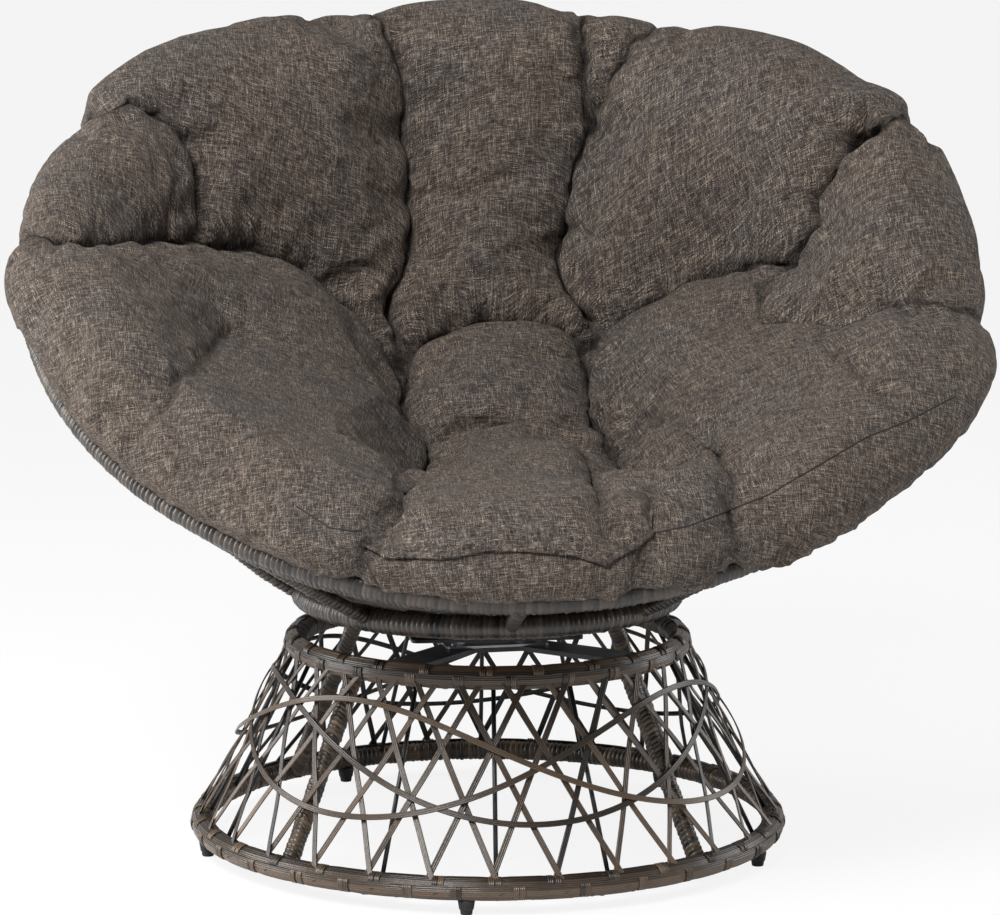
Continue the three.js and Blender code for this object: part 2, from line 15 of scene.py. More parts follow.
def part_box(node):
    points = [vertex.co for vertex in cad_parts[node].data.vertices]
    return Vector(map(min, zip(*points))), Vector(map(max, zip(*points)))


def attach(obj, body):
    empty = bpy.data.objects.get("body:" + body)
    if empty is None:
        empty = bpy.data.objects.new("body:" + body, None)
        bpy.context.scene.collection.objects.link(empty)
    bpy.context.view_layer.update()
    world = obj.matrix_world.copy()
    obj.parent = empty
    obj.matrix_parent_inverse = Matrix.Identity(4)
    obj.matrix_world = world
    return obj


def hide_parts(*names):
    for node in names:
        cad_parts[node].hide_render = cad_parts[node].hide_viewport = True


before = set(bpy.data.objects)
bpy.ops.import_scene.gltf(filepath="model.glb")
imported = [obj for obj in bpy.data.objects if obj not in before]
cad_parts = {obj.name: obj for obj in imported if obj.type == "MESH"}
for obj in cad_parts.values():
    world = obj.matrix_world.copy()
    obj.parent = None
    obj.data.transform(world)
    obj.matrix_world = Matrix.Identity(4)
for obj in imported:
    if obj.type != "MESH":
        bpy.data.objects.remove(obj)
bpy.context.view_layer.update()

MM = 0.001
rng = np.random.default_rng(7)

# %% [markdown]
# The camera comes first. It stands where the photograph was taken from: low, a little to the
# left of the seat's own front, and far off, so the lens is long and the lines nearly parallel.
# A place in the picture can then be followed along a ray to the surface that it shows.

# %% Camera
CAMERA_PLACE = Vector((-0.5258, -4.3448, 1.1312))
CAMERA_TILT = math.radians(80.96)
CAMERA_TURN = math.radians(-6.9)
LENS = 143.45
SENSOR = 36
SIDE_SHIFT = 0.01224
PICTURE = (1000, 915)

camera = bpy.data.objects.new("camera", bpy.data.cameras.new("camera"))
bpy.context.scene.collection.objects.link(camera)
camera.location = CAMERA_PLACE
camera.rotation_euler = (CAMERA_TILT, 0, CAMERA_TURN)
camera.data.lens = LENS
camera.data.sensor_width = SENSOR
camera.data.shift_x = SIDE_SHIFT
bpy.context.scene.camera = camera
bpy.context.view_layer.update()


def ray_through(px, py):
    """The direction from the camera through a pixel of the picture."""
    across = (px / PICTURE[0] - 0.5 + SIDE_SHIFT) * SENSOR / LENS
    up = (PICTURE[1] / 2 - py) / PICTURE[0] * SENSOR / LENS
    return (camera.matrix_world.to_3x3() @ Vector((across, up, -1))).normalized()


print("camera looks along", [round(x, 3) for x in ray_through(500, 457)])

# %% [markdown]
# Plain helpers. A ring, bar or strand is a section carried along a line, so one sweep makes
# them all: it needs the line's points, which way its face looks, and the section at each point.

# %% Helpers for meshes


def vertices_of(node):
    """A solid's vertices as rows of x, y, z."""
    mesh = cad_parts[node].data
    places = np.zeros(len(mesh.vertices) * 3)
    mesh.vertices.foreach_get("co", places)
    return places.reshape(-1, 3)


print("rim ring solid:", len(vertices_of("rim_ring")), "places")

# %% Sweep a section along a line


def unit(vectors):
    """Vectors of length one, row by row."""
    return vectors / np.linalg.norm(vectors, axis=-1, keepdims=True)


def tangents_of(points, closed):
    """The line's direction at each of its points."""
    if closed:
        return unit(np.roll(points, -1, 0) - np.roll(points, 1, 0))
    return unit(np.gradient(points, axis=0))


def carried(first, tangents):
    """A face direction carried along a line without twist."""
    rows = [np.asarray(first, float)]
    for tangent in tangents:
        last = rows[-1]
        rows.append(unit(last - last.dot(tangent) * tangent))
    return np.array(rows[1:])


def sweep(points, faces_to, sections, closed):
    """Vertices and faces of a section swept along a line.
    A section is a loop of (side, out) places, one loop or one loop for each point."""
    tangents = tangents_of(points, closed)
    sides = unit(np.cross(faces_to, tangents))
    outs = np.cross(tangents, sides)
    sections = np.broadcast_to(sections, (len(points),) + sections.shape[-2:])
    verts = (points[:, None] + sections[:, :, :1] * sides[:, None]
             + sections[:, :, 1:] * outs[:, None])
    rows, count = verts.shape[:2]
    faces = []
    for i in range(rows if closed else rows - 1):
        here, ahead = i * count, (i + 1) % rows * count
        for k in range(count):
            j = (k + 1) % count
            faces.append((here + k, here + j, ahead + j, ahead + k))
    if not closed:
        faces.append(tuple(reversed(range(count))))
        faces.append(tuple(range((rows - 1) * count, rows * count)))
    return verts.reshape(-1, 3), faces


def circle(sides, radius=1.0):
    """A round section."""
    turns = np.linspace(0, 2 * np.pi, sides, endpoint=False)
    return radius * np.stack([np.sin(turns), np.cos(turns)], 1)


print("four places of a round section:", circle(4).round(2).tolist())

# %% Make a piece


def piece(name, parts, finish, body, stands_for=()):
    """One smooth object from several (vertices, faces, tones), riding on a body."""
    verts, faces, tones, start = [], [], [], 0
    for part_verts, part_faces, part_tones in parts:
        verts.append(part_verts)
        faces += [tuple(start + i for i in face) for face in part_faces]
        tones.append(np.broadcast_to(part_tones, len(part_verts)))
        start += len(part_verts)
    mesh = bpy.data.meshes.new(name)
    mesh.from_pydata(np.concatenate(verts).tolist(), [], faces)
    mesh.attributes.new("tone", "FLOAT", "POINT").data.foreach_set(
        "value", np.concatenate(tones).astype(np.float32))
    mesh.polygons.foreach_set("use_smooth", [True] * len(mesh.polygons))
    mesh.update()
    made = bpy.data.objects.new(name, mesh)
    bpy.context.scene.collection.objects.link(made)
    mesh.materials.append(finish)
    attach(made, body)
    if stands_for:
        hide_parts(*stands_for)
    print(f"{name}: {len(mesh.polygons)} faces on {body}")
    return made


# %% Helpers for finishes


def put(tree, kind, feeds=None, **settings):
    """A shader node, set up and fed by socket name or number."""
    node = tree.nodes.new("ShaderNode" + kind)
    for key, value in settings.items():
        setattr(node, key, value)
    for key, value in (feeds or {}).items():
        if isinstance(value, bpy.types.NodeSocket):
            tree.links.new(value, node.inputs[key])
        else:
            node.inputs[key].default_value = value
    return node


def calc(tree, operation, first, second=0.0, third=0.0):
    """The result of a Math node."""
    return put(tree, "Math", {0: first, 1: second, 2: third}, operation=operation).outputs[0]


def blend_colors(tree, share, first, second, mode="MIX"):
    """A mix of two colours."""
    return put(tree, "MixRGB", {"Fac": share, "Color1": first, "Color2": second},
               blend_type=mode).outputs[0]


def shader_group(name, inputs, outputs):
    """An empty node group with named sockets: (label, kind, value)."""
    group = bpy.data.node_groups.new(name, "ShaderNodeTree")
    for label, kind, value in inputs:
        socket = group.interface.new_socket(label, in_out="INPUT", socket_type="NodeSocket" + kind)
        socket.default_value = value
    for label, kind in outputs:
        group.interface.new_socket(label, in_out="OUTPUT", socket_type="NodeSocket" + kind)
    return group, group.nodes.new("NodeGroupInput"), group.nodes.new("NodeGroupOutput")


def new_finish(name, **shader):
    """A material with the plain numbers on its shader's own sockets."""
    material = bpy.data.materials.new(name)
    material.use_nodes = True
    principled = material.node_tree.nodes["Principled BSDF"]
    for label, value in shader.items():
        principled.inputs[label.replace("_", " ")].default_value = value
    return material, material.node_tree, principled


def use_group(tree, group, feeds):
    """A group placed in a material with its own values."""
    return put(tree, "Group", feeds, node_tree=group)


def noise_at(tree, where, scale, detail=2.0):
    """The value of a noise texture at a place."""
    return put(tree, "TexNoise", {"Vector": where, "Scale": scale,
                                  "Detail": detail}).outputs["Fac"]


def remap(tree, value, low, high, to_low=0.0, to_high=1.0, **settings):
    """A value carried from one range to another, and kept inside it."""
    return put(tree, "MapRange", {"Value": value, 1: low, 2: high, 3: to_low, 4: to_high},
               **settings).outputs[0]


def dress(tree, shader, group, bump_strength, bump_depth, color=None):
    """A group's colour, roughness and height led into its material's shader."""
    bump = put(tree, "Bump", {"Height": group.outputs["Height"], "Strength": bump_strength,
                              "Distance": bump_depth})
    color = group.outputs["Color"] if color is None else color
    tree.links.new(color, shader.inputs["Base Color"])
    tree.links.new(group.outputs["Roughness"], shader.inputs["Roughness"])
    tree.links.new(bump.outputs["Normal"], shader.inputs["Normal"])


def srgb(red, green, blue):
    """A colour read off a screen, 0 to 255, as the linear values that a shader takes."""
    linear = [(c / 255 / 12.92) if c <= 10 else ((c / 255 + 0.055) / 1.055) ** 2.4
              for c in (red, green, blue)]
    return (*linear, 1.0)


print("middle grey of a screen:", round(srgb(128, 128, 128)[0], 3))

# %% [markdown]
# Resin cane is a flat plastic strip with fine ridges along it. Every strip comes out of the
# extruder a little lighter or darker, and its gloss is broken by the ridges and by handling.
# One group gives all cane its colour, roughness and height. It reads "tone", a number that
# each strip carries on its vertices, so that neighbouring strips differ as real ones do; on the
# laced strands tone also holds painted shade in the grooves and painted light on the ridges.

# %% Cane group
CANE_PATCHES, CANE_GRAIN = 22.0, 900.0  # how many to the metre
# A strip's paleness: parts of its own tone, of patches and of grain, less a constant
TONE_PART, PATCH_PART, GRAIN_PART, LESS = 0.75, 0.5, 0.22, 0.3
CANE_SMOOTHEST, CANE_ROUGHER = 0.26, 0.25
FINISH_OUTPUTS = [("Color", "Color"), ("Roughness", "Float"), ("Height", "Float")]
cane_group, start, end = shader_group(
    "cane", [("Dark", "Color", srgb(38, 30, 25)), ("Light", "Color", srgb(112, 97, 82)),
             ("Grain", "Float", CANE_GRAIN)], FINISH_OUTPUTS)
tone = put(cane_group, "Attribute", attribute_name="tone").outputs["Fac"]
where = put(cane_group, "TexCoord").outputs["Object"]
patches = noise_at(cane_group, where, CANE_PATCHES, 3.0)
grain = noise_at(cane_group, where, start.outputs["Grain"])
own = calc(cane_group, "MULTIPLY", tone, TONE_PART)
patchy = calc(cane_group, "MULTIPLY_ADD", patches, PATCH_PART, own)
paleness = calc(cane_group, "MULTIPLY_ADD", grain, GRAIN_PART,
                calc(cane_group, "SUBTRACT", patchy, LESS))
cane_color = blend_colors(cane_group, paleness, start.outputs["Dark"], start.outputs["Light"])
cane_rough = calc(cane_group, "MULTIPLY_ADD", grain, CANE_ROUGHER, CANE_SMOOTHEST)
cane_group.links.new(cane_color, end.inputs["Color"])
cane_group.links.new(cane_rough, end.inputs["Roughness"])
cane_group.links.new(grain, end.inputs["Height"])
print("cane group:", len(cane_group.nodes), "nodes")

# %% Cane finishes
CANE_COAT = {"Coat_Weight": 0.22, "Coat_Roughness": 0.2, "Specular_IOR_Level": 0.4}
CANE_BUMP, CANE_BUMP_DEPTH = 0.25, 0.4 * MM


def cane_finish(name, dark, light):
    """A cane material between two colours."""
    material, tree, shader = new_finish(name, **CANE_COAT)
    cane = use_group(tree, cane_group, {"Dark": dark, "Light": light})
    dress(tree, shader, cane, CANE_BUMP, CANE_BUMP_DEPTH)
    return material


laced_cane = cane_finish("laced_cane", srgb(20, 15, 12), srgb(98, 80, 62))
wound_cane = cane_finish("wound_cane", srgb(20, 17, 15), srgb(78, 67, 57))
print("cane finishes:", laced_cane.name, wound_cane.name)

# %% [markdown]
# The swivel's cross bars and the rods are steel with a black powder coat: satin, very slightly
# pebbled, rubbed paler at its corners. The bearing's plates, balls and bolts are zinc plated,
# and the glides under the base are black rubber with a dusty bloom.

# %% Coat group
SMEARS = 35.0  # how many to the metre
CORNER_FROM, CORNER_TO, CORNER_WEAR = 0.52, 0.62, 0.8  # pointiness where wear starts and is full
SMEAR_ROUGHER = 0.3
coat_group, start, end = shader_group(
    "coat", [("Base", "Color", srgb(22, 22, 24)), ("Worn", "Color", srgb(70, 70, 72)),
             ("Pebble", "Float", 700.0), ("Gloss", "Float", 0.35)], FINISH_OUTPUTS)
where = put(coat_group, "TexCoord").outputs["Object"]
pebble = noise_at(coat_group, where, start.outputs["Pebble"])
smear = noise_at(coat_group, where, SMEARS, 5.0)
corner = put(coat_group, "NewGeometry").outputs["Pointiness"]
wear = remap(coat_group, corner, CORNER_FROM, CORNER_TO, 0.0, CORNER_WEAR)
worn = calc(coat_group, "MULTIPLY", wear, smear)
coat_color = blend_colors(coat_group, worn, start.outputs["Base"], start.outputs["Worn"])
coat_rough = calc(coat_group, "MULTIPLY_ADD", smear, SMEAR_ROUGHER, start.outputs["Gloss"])
coat_group.links.new(coat_color, end.inputs["Color"])
coat_group.links.new(coat_rough, end.inputs["Roughness"])
coat_group.links.new(pebble, end.inputs["Height"])
print("coat group:", len(coat_group.nodes), "nodes")

# %% Metal and rubber
COAT_BUMP = 0.3


def coated_finish(name, base, worn_to, pebbles, gloss, metal, bump_depth):
    """A coated or plated finish."""
    material, tree, shader = new_finish(name, Metallic=metal)
    coat = use_group(tree, coat_group, {"Base": base, "Worn": worn_to, "Pebble": pebbles,
                                        "Gloss": gloss})
    dress(tree, shader, coat, COAT_BUMP, bump_depth)
    return material


black_steel = coated_finish("black_steel", srgb(24, 24, 26), srgb(78, 78, 80), pebbles=800.0,
                            gloss=0.24, metal=0.0, bump_depth=0.2 * MM)
zinc_steel = coated_finish("zinc_steel", srgb(150, 152, 156), srgb(196, 198, 200),
                           pebbles=400.0, gloss=0.22, metal=1.0, bump_depth=0.05 * MM)
rubber = coated_finish("rubber", srgb(24, 24, 24), srgb(60, 60, 60), pebbles=1500.0,
                       gloss=0.6, metal=0.0, bump_depth=0.2 * MM)
print("coats:", black_steel.name, zinc_steel.name, rubber.name)

# %% [markdown]
# Rings are measured from the solids. A wound bar could be a smooth tube with a striped bump,
# but its outline would stay smooth and the stripes flat, so each turn of the cane is modelled:
# the tube's radius dips at every joint between turns, and pitch, lean and height vary a little.

# %% Measure rings


def ring_of(node):
    """Centre, axis, radius and tube radius of a ring solid."""
    places = vertices_of(node)
    centre = places.mean(0)
    axis = np.linalg.svd(places - centre, full_matrices=False)[2][2]
    axis = axis * np.sign(axis[2])
    flat = (places - centre) - np.outer((places - centre) @ axis, axis)
    reach = np.linalg.norm(flat, axis=1)
    return centre, axis, (reach.max() + reach.min()) / 2, (reach.max() - reach.min()) / 2


rings = {name: ring_of(name) for name in
         ("base_ring", "upper_base_ring", "swivel_ring", "rim_ring", "bowl_hoop")}
for name, (centre, axis, radius, tube) in rings.items():
    print(name, "radius", round(radius, 4), "tube", round(tube, 4), "lift", round(centre[2], 4))

# %% Winding
# Across one turn of cane: the joint, an edge, the crown, the other edge
TURN_SHARES = np.array([0, 0.16, 0.5, 0.84])
TURN_RISE = np.array([-1.1, 0.0, 0.25, 0.0]) * MM
JOINT_RISE = TURN_RISE.min()
PITCH_SPREAD = 0.09
HEIGHT_SPREAD = 0.3 * MM
TONE_POWER = 1.5  # above 1 more turns are dark than pale


def along(points, spots, closed):
    """Points of a line at given distances from its start."""
    loop = np.vstack([points, points[:1]]) if closed else points
    run = np.concatenate([[0], np.cumsum(np.linalg.norm(np.diff(loop, axis=0), axis=1))])
    return np.stack([np.interp(spots, run, loop[:, k]) for k in range(3)], 1), run[-1]


def winding(line, face_to, radius, pitch, closed, sides, lean):
    """A bar wound with flat cane: vertices, faces, and each turn's tone.
    Lean is how far a turn leans along the bar, in pitches."""
    length = along(line, [0], closed)[1]
    turns = max(3, round(length / pitch))
    widths = 1 + PITCH_SPREAD * rng.standard_normal(turns).clip(-2, 2)
    joints = np.concatenate([[0], np.cumsum(widths)]) / widths.sum() * length
    spots = (joints[:-1, None] + TURN_SHARES * np.diff(joints)[:, None]).ravel()
    if not closed:
        spots = np.append(spots, length)
    points = along(line, spots, closed)[0]
    heights = HEIGHT_SPREAD * rng.standard_normal(turns)
    rise = (TURN_RISE + heights[:, None] * (TURN_RISE > JOINT_RISE)).ravel()
    tones = np.repeat(rng.random(turns) ** TONE_POWER, len(TURN_SHARES))
    if not closed:
        rise, tones = np.append(rise, rise[0]), np.append(tones, tones[-1])
    ring_shape = circle(sides)
    sections = ring_shape * (radius + rise)[:, None, None]
    tangents = tangents_of(points, closed)
    verts, faces = sweep(points, carried(face_to, tangents), sections, closed)
    tilt = lean * pitch * ring_shape[:, 0]
    shift = (tangents[:, None] * tilt[None, :, None]).reshape(-1, 3)
    keep = np.ones(len(points))
    if not closed:
        keep = np.clip(np.minimum(spots, length - spots) / pitch, 0, 1)
    verts = verts + shift * np.repeat(keep, sides)[:, None]
    return verts, faces, np.repeat(tones, sides)


def ring_line(node, steps=400, lift=0.0):
    """Points round a ring solid's middle line."""
    centre, axis, radius, _ = rings[node]
    turns = np.linspace(0, 2 * np.pi, steps, endpoint=False)
    ahead = unit(np.cross([1.0, 0, 0], axis))
    side = np.cross(ahead, axis)
    circle_points = np.outer(np.sin(turns), side) + np.outer(np.cos(turns), ahead)
    return centre + axis * lift + circle_points * radius


print("a turn of cane rises by", (TURN_RISE / MM).tolist(), "mm across its width")

# %% [markdown]
# The bowl: a rim, a swivel ring, a hoop between them and eight ribs, all wound with cane of
# about 5.8 mm pitch. The ribs follow the same curve as their solids: they leave the swivel
# ring nearly flat, pass over the hoop and come up to the rim steeply.

# %% Bowl
CANE_PITCH = 5.8 * MM
CANE_LIFT = 0.2 * MM  # how far a ring's winding lies outside the solid
RING_LEAN = 0.35
RIM_TILT = math.radians(32.3)
HOOP_LIFT = 11 * MM  # the lashed hoop is pulled up against the ribs


def wind_ring(name, node, sides, lift=0.0):
    """A ring solid of the bowl wound with cane."""
    _, axis, _, tube = rings[node]
    line = ring_line(node, lift=lift)
    part = winding(line, axis, tube + CANE_LIFT, CANE_PITCH, True, sides, RING_LEAN)
    return piece(name, [part], wound_cane, "seat", [node])


wind_ring("rim_winding", "rim_ring", sides=18)
wind_ring("swivel_ring_winding", "swivel_ring", sides=18)
wind_ring("hoop_winding", "bowl_hoop", sides=12, lift=HOOP_LIFT)

# %% Ribs
# Degrees at which a rib leaves the swivel ring, on average and more at the back, and arrives
RIB_START_MEAN, RIB_START_SWING, RIB_ARRIVAL = 22, 10, 60
HOOP_SHARE, OVER_HOOP = 0.55, 13.5 * MM  # how far along a rib the hoop lies, and how far below
HANDLE_SHARE = 0.4  # how far the curve's handles reach, of the way from ring to rim
RIB_TUBE, RIB_SIDES, RIB_LEAN = 8 * MM, 12, 0.3
RIB_COUNT = 8


def heading(azimuth, out=1.0, up=0.0):
    """A direction or place: azimuth in degrees from the front towards +X."""
    turn = math.radians(azimuth)
    return np.array([out * math.sin(turn), -out * math.cos(turn), up])


def tilted(vector, angle):
    """A vector turned about the X axis."""
    x, y, z = vector
    return np.array([x, y * math.cos(angle) - z * math.sin(angle),
                     y * math.sin(angle) + z * math.cos(angle)])


def rib_line(azimuth, steps=80):
    """The bowl's line at an azimuth, from the swivel ring over the hoop to the rim."""
    swivel_centre, _, swivel_radius, _ = rings["swivel_ring"]
    rim_centre, _, rim_radius, _ = rings["rim_ring"]
    hoop_centre, hoop_axis, hoop_radius, _ = rings["bowl_hoop"]
    hoop_tilt = math.atan2(-hoop_axis[1], hoop_axis[2])
    first = swivel_centre + heading(azimuth, swivel_radius)
    last = rim_centre + tilted(heading(azimuth, rim_radius), RIM_TILT)
    handle = np.linalg.norm(last - first) * HANDLE_SHARE
    slope = math.radians(RIB_START_MEAN - RIB_START_SWING * math.cos(math.radians(azimuth)))
    arrival = math.radians(RIB_ARRIVAL)
    second = first + handle * heading(azimuth, math.cos(slope), math.sin(slope))
    third = last - handle * tilted(heading(azimuth, math.cos(arrival), math.sin(arrival)), RIM_TILT)
    over = hoop_centre + tilted(heading(azimuth, hoop_radius, OVER_HOOP), hoop_tilt)
    t = HOOP_SHARE
    weights = [(1 - t) ** 3, 3 * t * (1 - t) ** 2, 3 * t * t * (1 - t), t ** 3]
    free = sum(w * p for w, p in zip(weights, (first, second, third, last)))
    miss = (over - free) / (3 * t * (1 - t))
    t = np.linspace(0, 1, steps)[:, None]
    return ((1 - t) ** 3 * first + 3 * t * (1 - t) ** 2 * (second + miss)
            + 3 * t * t * (1 - t) * (third + miss) + t ** 3 * last)


for i in range(RIB_COUNT):
    azimuth = 360 * i / RIB_COUNT
    part = winding(rib_line(azimuth), heading(azimuth + 90), RIB_TUBE, CANE_PITCH, False,
                   RIB_SIDES, RIB_LEAN)
    piece(f"rib_winding_{i + 1}", [part], wound_cane, "seat", [f"rib_{i + 1}"])

# %% [markdown]
# The base: two rings on a cone, four wound legs, twelve thin steel rods and five glides.
# Legs and rods are placed at the azimuths of their solids, on the cone between the rings.

# %% Cone between the base rings
low_ring, high_ring = rings["base_ring"], rings["upper_base_ring"]
CONE_FOOT = np.array([low_ring[2], low_ring[0][2]])
CONE_TOP = np.array([high_ring[2], high_ring[0][2]])
CONE_ALONG = unit(CONE_TOP - CONE_FOOT)
CONE_OUT = np.array([CONE_ALONG[1], -CONE_ALONG[0]])
BASE_TURN = -5.3  # degrees by which the base's strands and legs are turned under the seat


def on_cone(azimuth, climb, out):
    """A place on the base's cone: climb from 0 to 1, out in metres, azimuth of the base."""
    radius, height = CONE_FOOT + climb * (CONE_TOP - CONE_FOOT) + out * CONE_OUT
    return heading(azimuth + BASE_TURN, radius, height)


def azimuth_of(node):
    """The base's own azimuth of a leg or rod."""
    x, y = vertices_of(node)[:, :2].mean(0)
    return math.degrees(math.atan2(x, -y)) - BASE_TURN


print("cone from", CONE_FOOT.round(4), "to", CONE_TOP.round(4))

# %% Legs and rods
LEG_TUBE, LEG_INSET, LEG_PITCH = 9.5 * MM, 8 * MM, 5.2 * MM
LEG_SIDES, LEG_LEAN, LEG_STEPS = 14, 0.7, 20
ROD_TUBE, ROD_INSET, ROD_SIDES = 2.5 * MM, 4 * MM, 12
LEG_COUNT, ROD_COUNT, FOOT_COUNT = 4, 12, 5
for i in range(1, LEG_COUNT + 1):
    azimuth = azimuth_of(f"leg_{i}")
    climbs = np.linspace(0, 1, LEG_STEPS)
    line = np.array([on_cone(azimuth, climb, -LEG_INSET) for climb in climbs])
    part = winding(line, heading(azimuth + BASE_TURN + 90), LEG_TUBE, LEG_PITCH, False,
                   LEG_SIDES, LEG_LEAN)
    piece(f"leg_winding_{i}", [part], laced_cane, "base", [f"leg_{i}"])
for i in range(1, ROD_COUNT + 1):
    azimuth = azimuth_of(f"rod_{i}")
    line = np.array([on_cone(azimuth, climb, -ROD_INSET) for climb in (0, 0.5, 1)])
    faces_to = np.repeat([heading(azimuth + BASE_TURN + 90)], len(line), 0)
    part = sweep(line, faces_to, circle(ROD_SIDES, ROD_TUBE), False)
    piece(f"round_rod_{i}", [(*part, 0.0)], black_steel, "base", [f"rod_{i}"])

# %% Glides
# A glide's side view: shares of its radius and height, from the floor up
GLIDE_VIEW = ((0.0, 0.0), (0.62, 0.0), (0.66, 0.05), (0.68, 0.14), (0.72, 0.30), (0.80, 0.34),
              (0.83, 0.40), (0.92, 0.72), (0.97, 0.86), (0.86, 1.0), (0.0, 1.0))
GLIDE_SIDES = 24


def glide(node):
    """A moulded glide: a stepped, rounded foot under the ring."""
    low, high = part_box(node)
    centre = (np.array(low) + np.array(high)) / 2
    half, top = (high.x - low.x) / 2, high.z
    verts, faces = [], []
    for radius_share, height_share in GLIDE_VIEW:
        for k in range(GLIDE_SIDES):
            turn = 2 * math.pi * k / GLIDE_SIDES
            verts.append((centre[0] + radius_share * half * math.cos(turn),
                          centre[1] + radius_share * half * math.sin(turn), height_share * top))
    for i in range(len(GLIDE_VIEW) - 1):
        here, above = i * GLIDE_SIDES, (i + 1) * GLIDE_SIDES
        for k in range(GLIDE_SIDES):
            j = (k + 1) % GLIDE_SIDES
            faces.append((here + k, here + j, above + j, above + k))
    return np.array(verts), faces, 0.0


for i in range(1, FOOT_COUNT + 1):
    piece(f"glide_{i}", [glide(f"foot_{i}")], rubber, "base", [f"foot_{i}"])

# %% [markdown]
# The laced strands run straight from the lower ring to the upper ring, leaning left and right
# by turns, and go over and under each other. Three long strands wave round outside them.
# Each is a flat strip with three rounded ridges along its face, which catch the light.

# %% Strand section
STRAND_WIDTH, STRAND_THICKNESS = 6.5 * MM, 1.6 * MM
RIDGES, RIDGE_DEPTH, RIDGE_STEPS = 3, 0.3, 13  # depth as a share of the thickness
EDGE_DROP, BACK_HALF = 0.25, 0.46  # shares of the thickness and of the width
# Painted shade and light on the laced strands: how far the tone drops in the grooves and rises on
# the ridges, and the ridge level that keeps its own tone
GROOVE_PAINTED_SHADE, RIDGE_MEAN = 0.55, 0.7


def strand_section():
    """A flat strip with three ridges on its face and round edges."""
    across = np.linspace(-0.5, 0.5, RIDGE_STEPS)
    ridge = 0.5 - RIDGE_DEPTH * (0.5 + 0.5 * np.cos(2 * np.pi * RIDGES * (across + 0.5)))
    ridge[[0, -1]] -= EDGE_DROP
    face = np.stack([across * STRAND_WIDTH, ridge * STRAND_THICKNESS], 1)
    back = np.array([[BACK_HALF, -0.5], [-BACK_HALF, -0.5]]) * [STRAND_WIDTH, STRAND_THICKNESS]
    return np.vstack([face, back])


def strand(points, faces_to, closed=False):
    """A cane strand along a line, with its own tone, painted darker in its grooves as shade and
    paler on its ridges as light.
    """
    section = strand_section()
    verts, faces = sweep(points, faces_to, section, closed)
    depth = section[:, 1] / section[:, 1].max() - 1
    ridge = np.clip((depth + 2 * RIDGE_DEPTH) / RIDGE_DEPTH / 2, 0, 1)
    # Painted shade in the grooves and painted highlight on the ridge crowns
    tones = rng.random() + GROOVE_PAINTED_SHADE * (ridge - RIDGE_MEAN)
    return verts, faces, np.tile(tones, len(points))


print("places round a strand:", len(strand_section()))

# %% Lattice
VERTEX_COUNT = 30  # places on the lower ring where two strands start, one leaning each way
LACE_LEAN = 22.5  # degrees round the base from a strand's foot to its top
LACE_PHASE = -0.4  # degrees
LACE_MIDDLE = 10.0 * MM  # outside the cone, half way between the two layers of solids
LACE_SWING, LACE_WANDER, LACE_STEPS = 1.15 * MM, 0.6 * MM, 40
LACE_SPREAD = 1.25  # degrees by which strands start beside their vertex, to meet on the ring
APART = 360 / VERTEX_COUNT
# Climbs at which a strand meets those that lean the other way, and at which it starts and ends
CROSSINGS = [(APART * k + 2 * LACE_SPREAD) / (2 * (LACE_LEAN + LACE_SPREAD)) for k in (1, 2, 3)]
LACE_LOW, LACE_HIGH = -0.035, 1.03


def lace_line(azimuth, lean, side):
    """A strand from a low vertex to the top, over and under the strands that it crosses."""
    climbs = np.linspace(LACE_LOW, LACE_HIGH, LACE_STEPS)
    start_at = on_cone(azimuth - math.copysign(LACE_SPREAD, lean), 0, 0)
    end_at = on_cone(azimuth + lean, 1, 0)
    chord = start_at + climbs[:, None] * (end_at - start_at)
    face = heading(azimuth + lean / 2 + BASE_TURN, CONE_OUT[0], CONE_OUT[1])
    weave = side * LACE_SWING * np.cos(np.pi * (climbs - CROSSINGS[0])
                                       / (CROSSINGS[1] - CROSSINGS[0]))
    wander = LACE_WANDER * rng.standard_normal() * np.sin(np.pi * climbs)
    sideways = unit(np.cross(face, end_at - start_at))
    line = chord + (LACE_MIDDLE + weave)[:, None] * face + wander[:, None] * sideways
    return line, np.repeat([face], len(climbs), 0)


laces = [[], []]
for i in range(VERTEX_COUNT):
    azimuth = 360 * i / VERTEX_COUNT + LACE_PHASE
    for lean, side in ((LACE_LEAN, 1), (-LACE_LEAN, -1)):
        laces[i % 2].append(strand(*lace_line(azimuth, lean, side)))
for k, parts in enumerate(laces):
    piece(f"laced_strands_{k + 1}", parts, laced_cane, "base", [f"lace_{k + 1}"])

# %% Long strands
WAVE_CRESTS = (-80.6, 56.4, -36.6)  # azimuth of one crest of each strand
WAVE_MIDDLE, WAVE_SWING = 140 * MM, 56 * MM  # height over the floor, and swing about it
WAVE_OUT = (13.2 * MM, 14.6 * MM, 16.0 * MM)  # outside the cone
WAVES_PER_TURN, WAVE_STEPS = 2, 300


def wave_line(crest, out):
    """A closed line that rises and falls twice round the cone."""
    rows, faces_to = [], []
    start_at, end_at = on_cone(0, 0, 0), on_cone(LACE_LEAN, 1, 0)
    for azimuth in np.linspace(0, 360, WAVE_STEPS, endpoint=False):
        turn = math.radians(WAVES_PER_TURN * (azimuth - crest))
        height = WAVE_MIDDLE + WAVE_SWING * math.cos(turn)
        climb = (height - CONE_FOOT[1]) / (CONE_TOP[1] - CONE_FOOT[1])
        chord = start_at + climb * (end_at - start_at)
        radius = math.hypot(chord[0], chord[1]) + out * CONE_OUT[0]
        rows.append(heading(azimuth + BASE_TURN, radius, height + out * CONE_OUT[1]))
        faces_to.append(heading(azimuth + BASE_TURN, CONE_OUT[0], CONE_OUT[1]))
    return np.array(rows), np.array(faces_to)


for k, (crest, out) in enumerate(zip(WAVE_CRESTS, WAVE_OUT)):
    part = strand(*wave_line(crest, out), closed=True)
    piece(f"long_strand_{k + 1}", [part], laced_cane, "base", [f"wave_strand_{k + 1}"])

# %% [markdown]
# Both base rings are wound first, then plaited on their outer face: rows of strips run round
# the ring, and pairs of short ties cross over them, staggered from one row to the next.

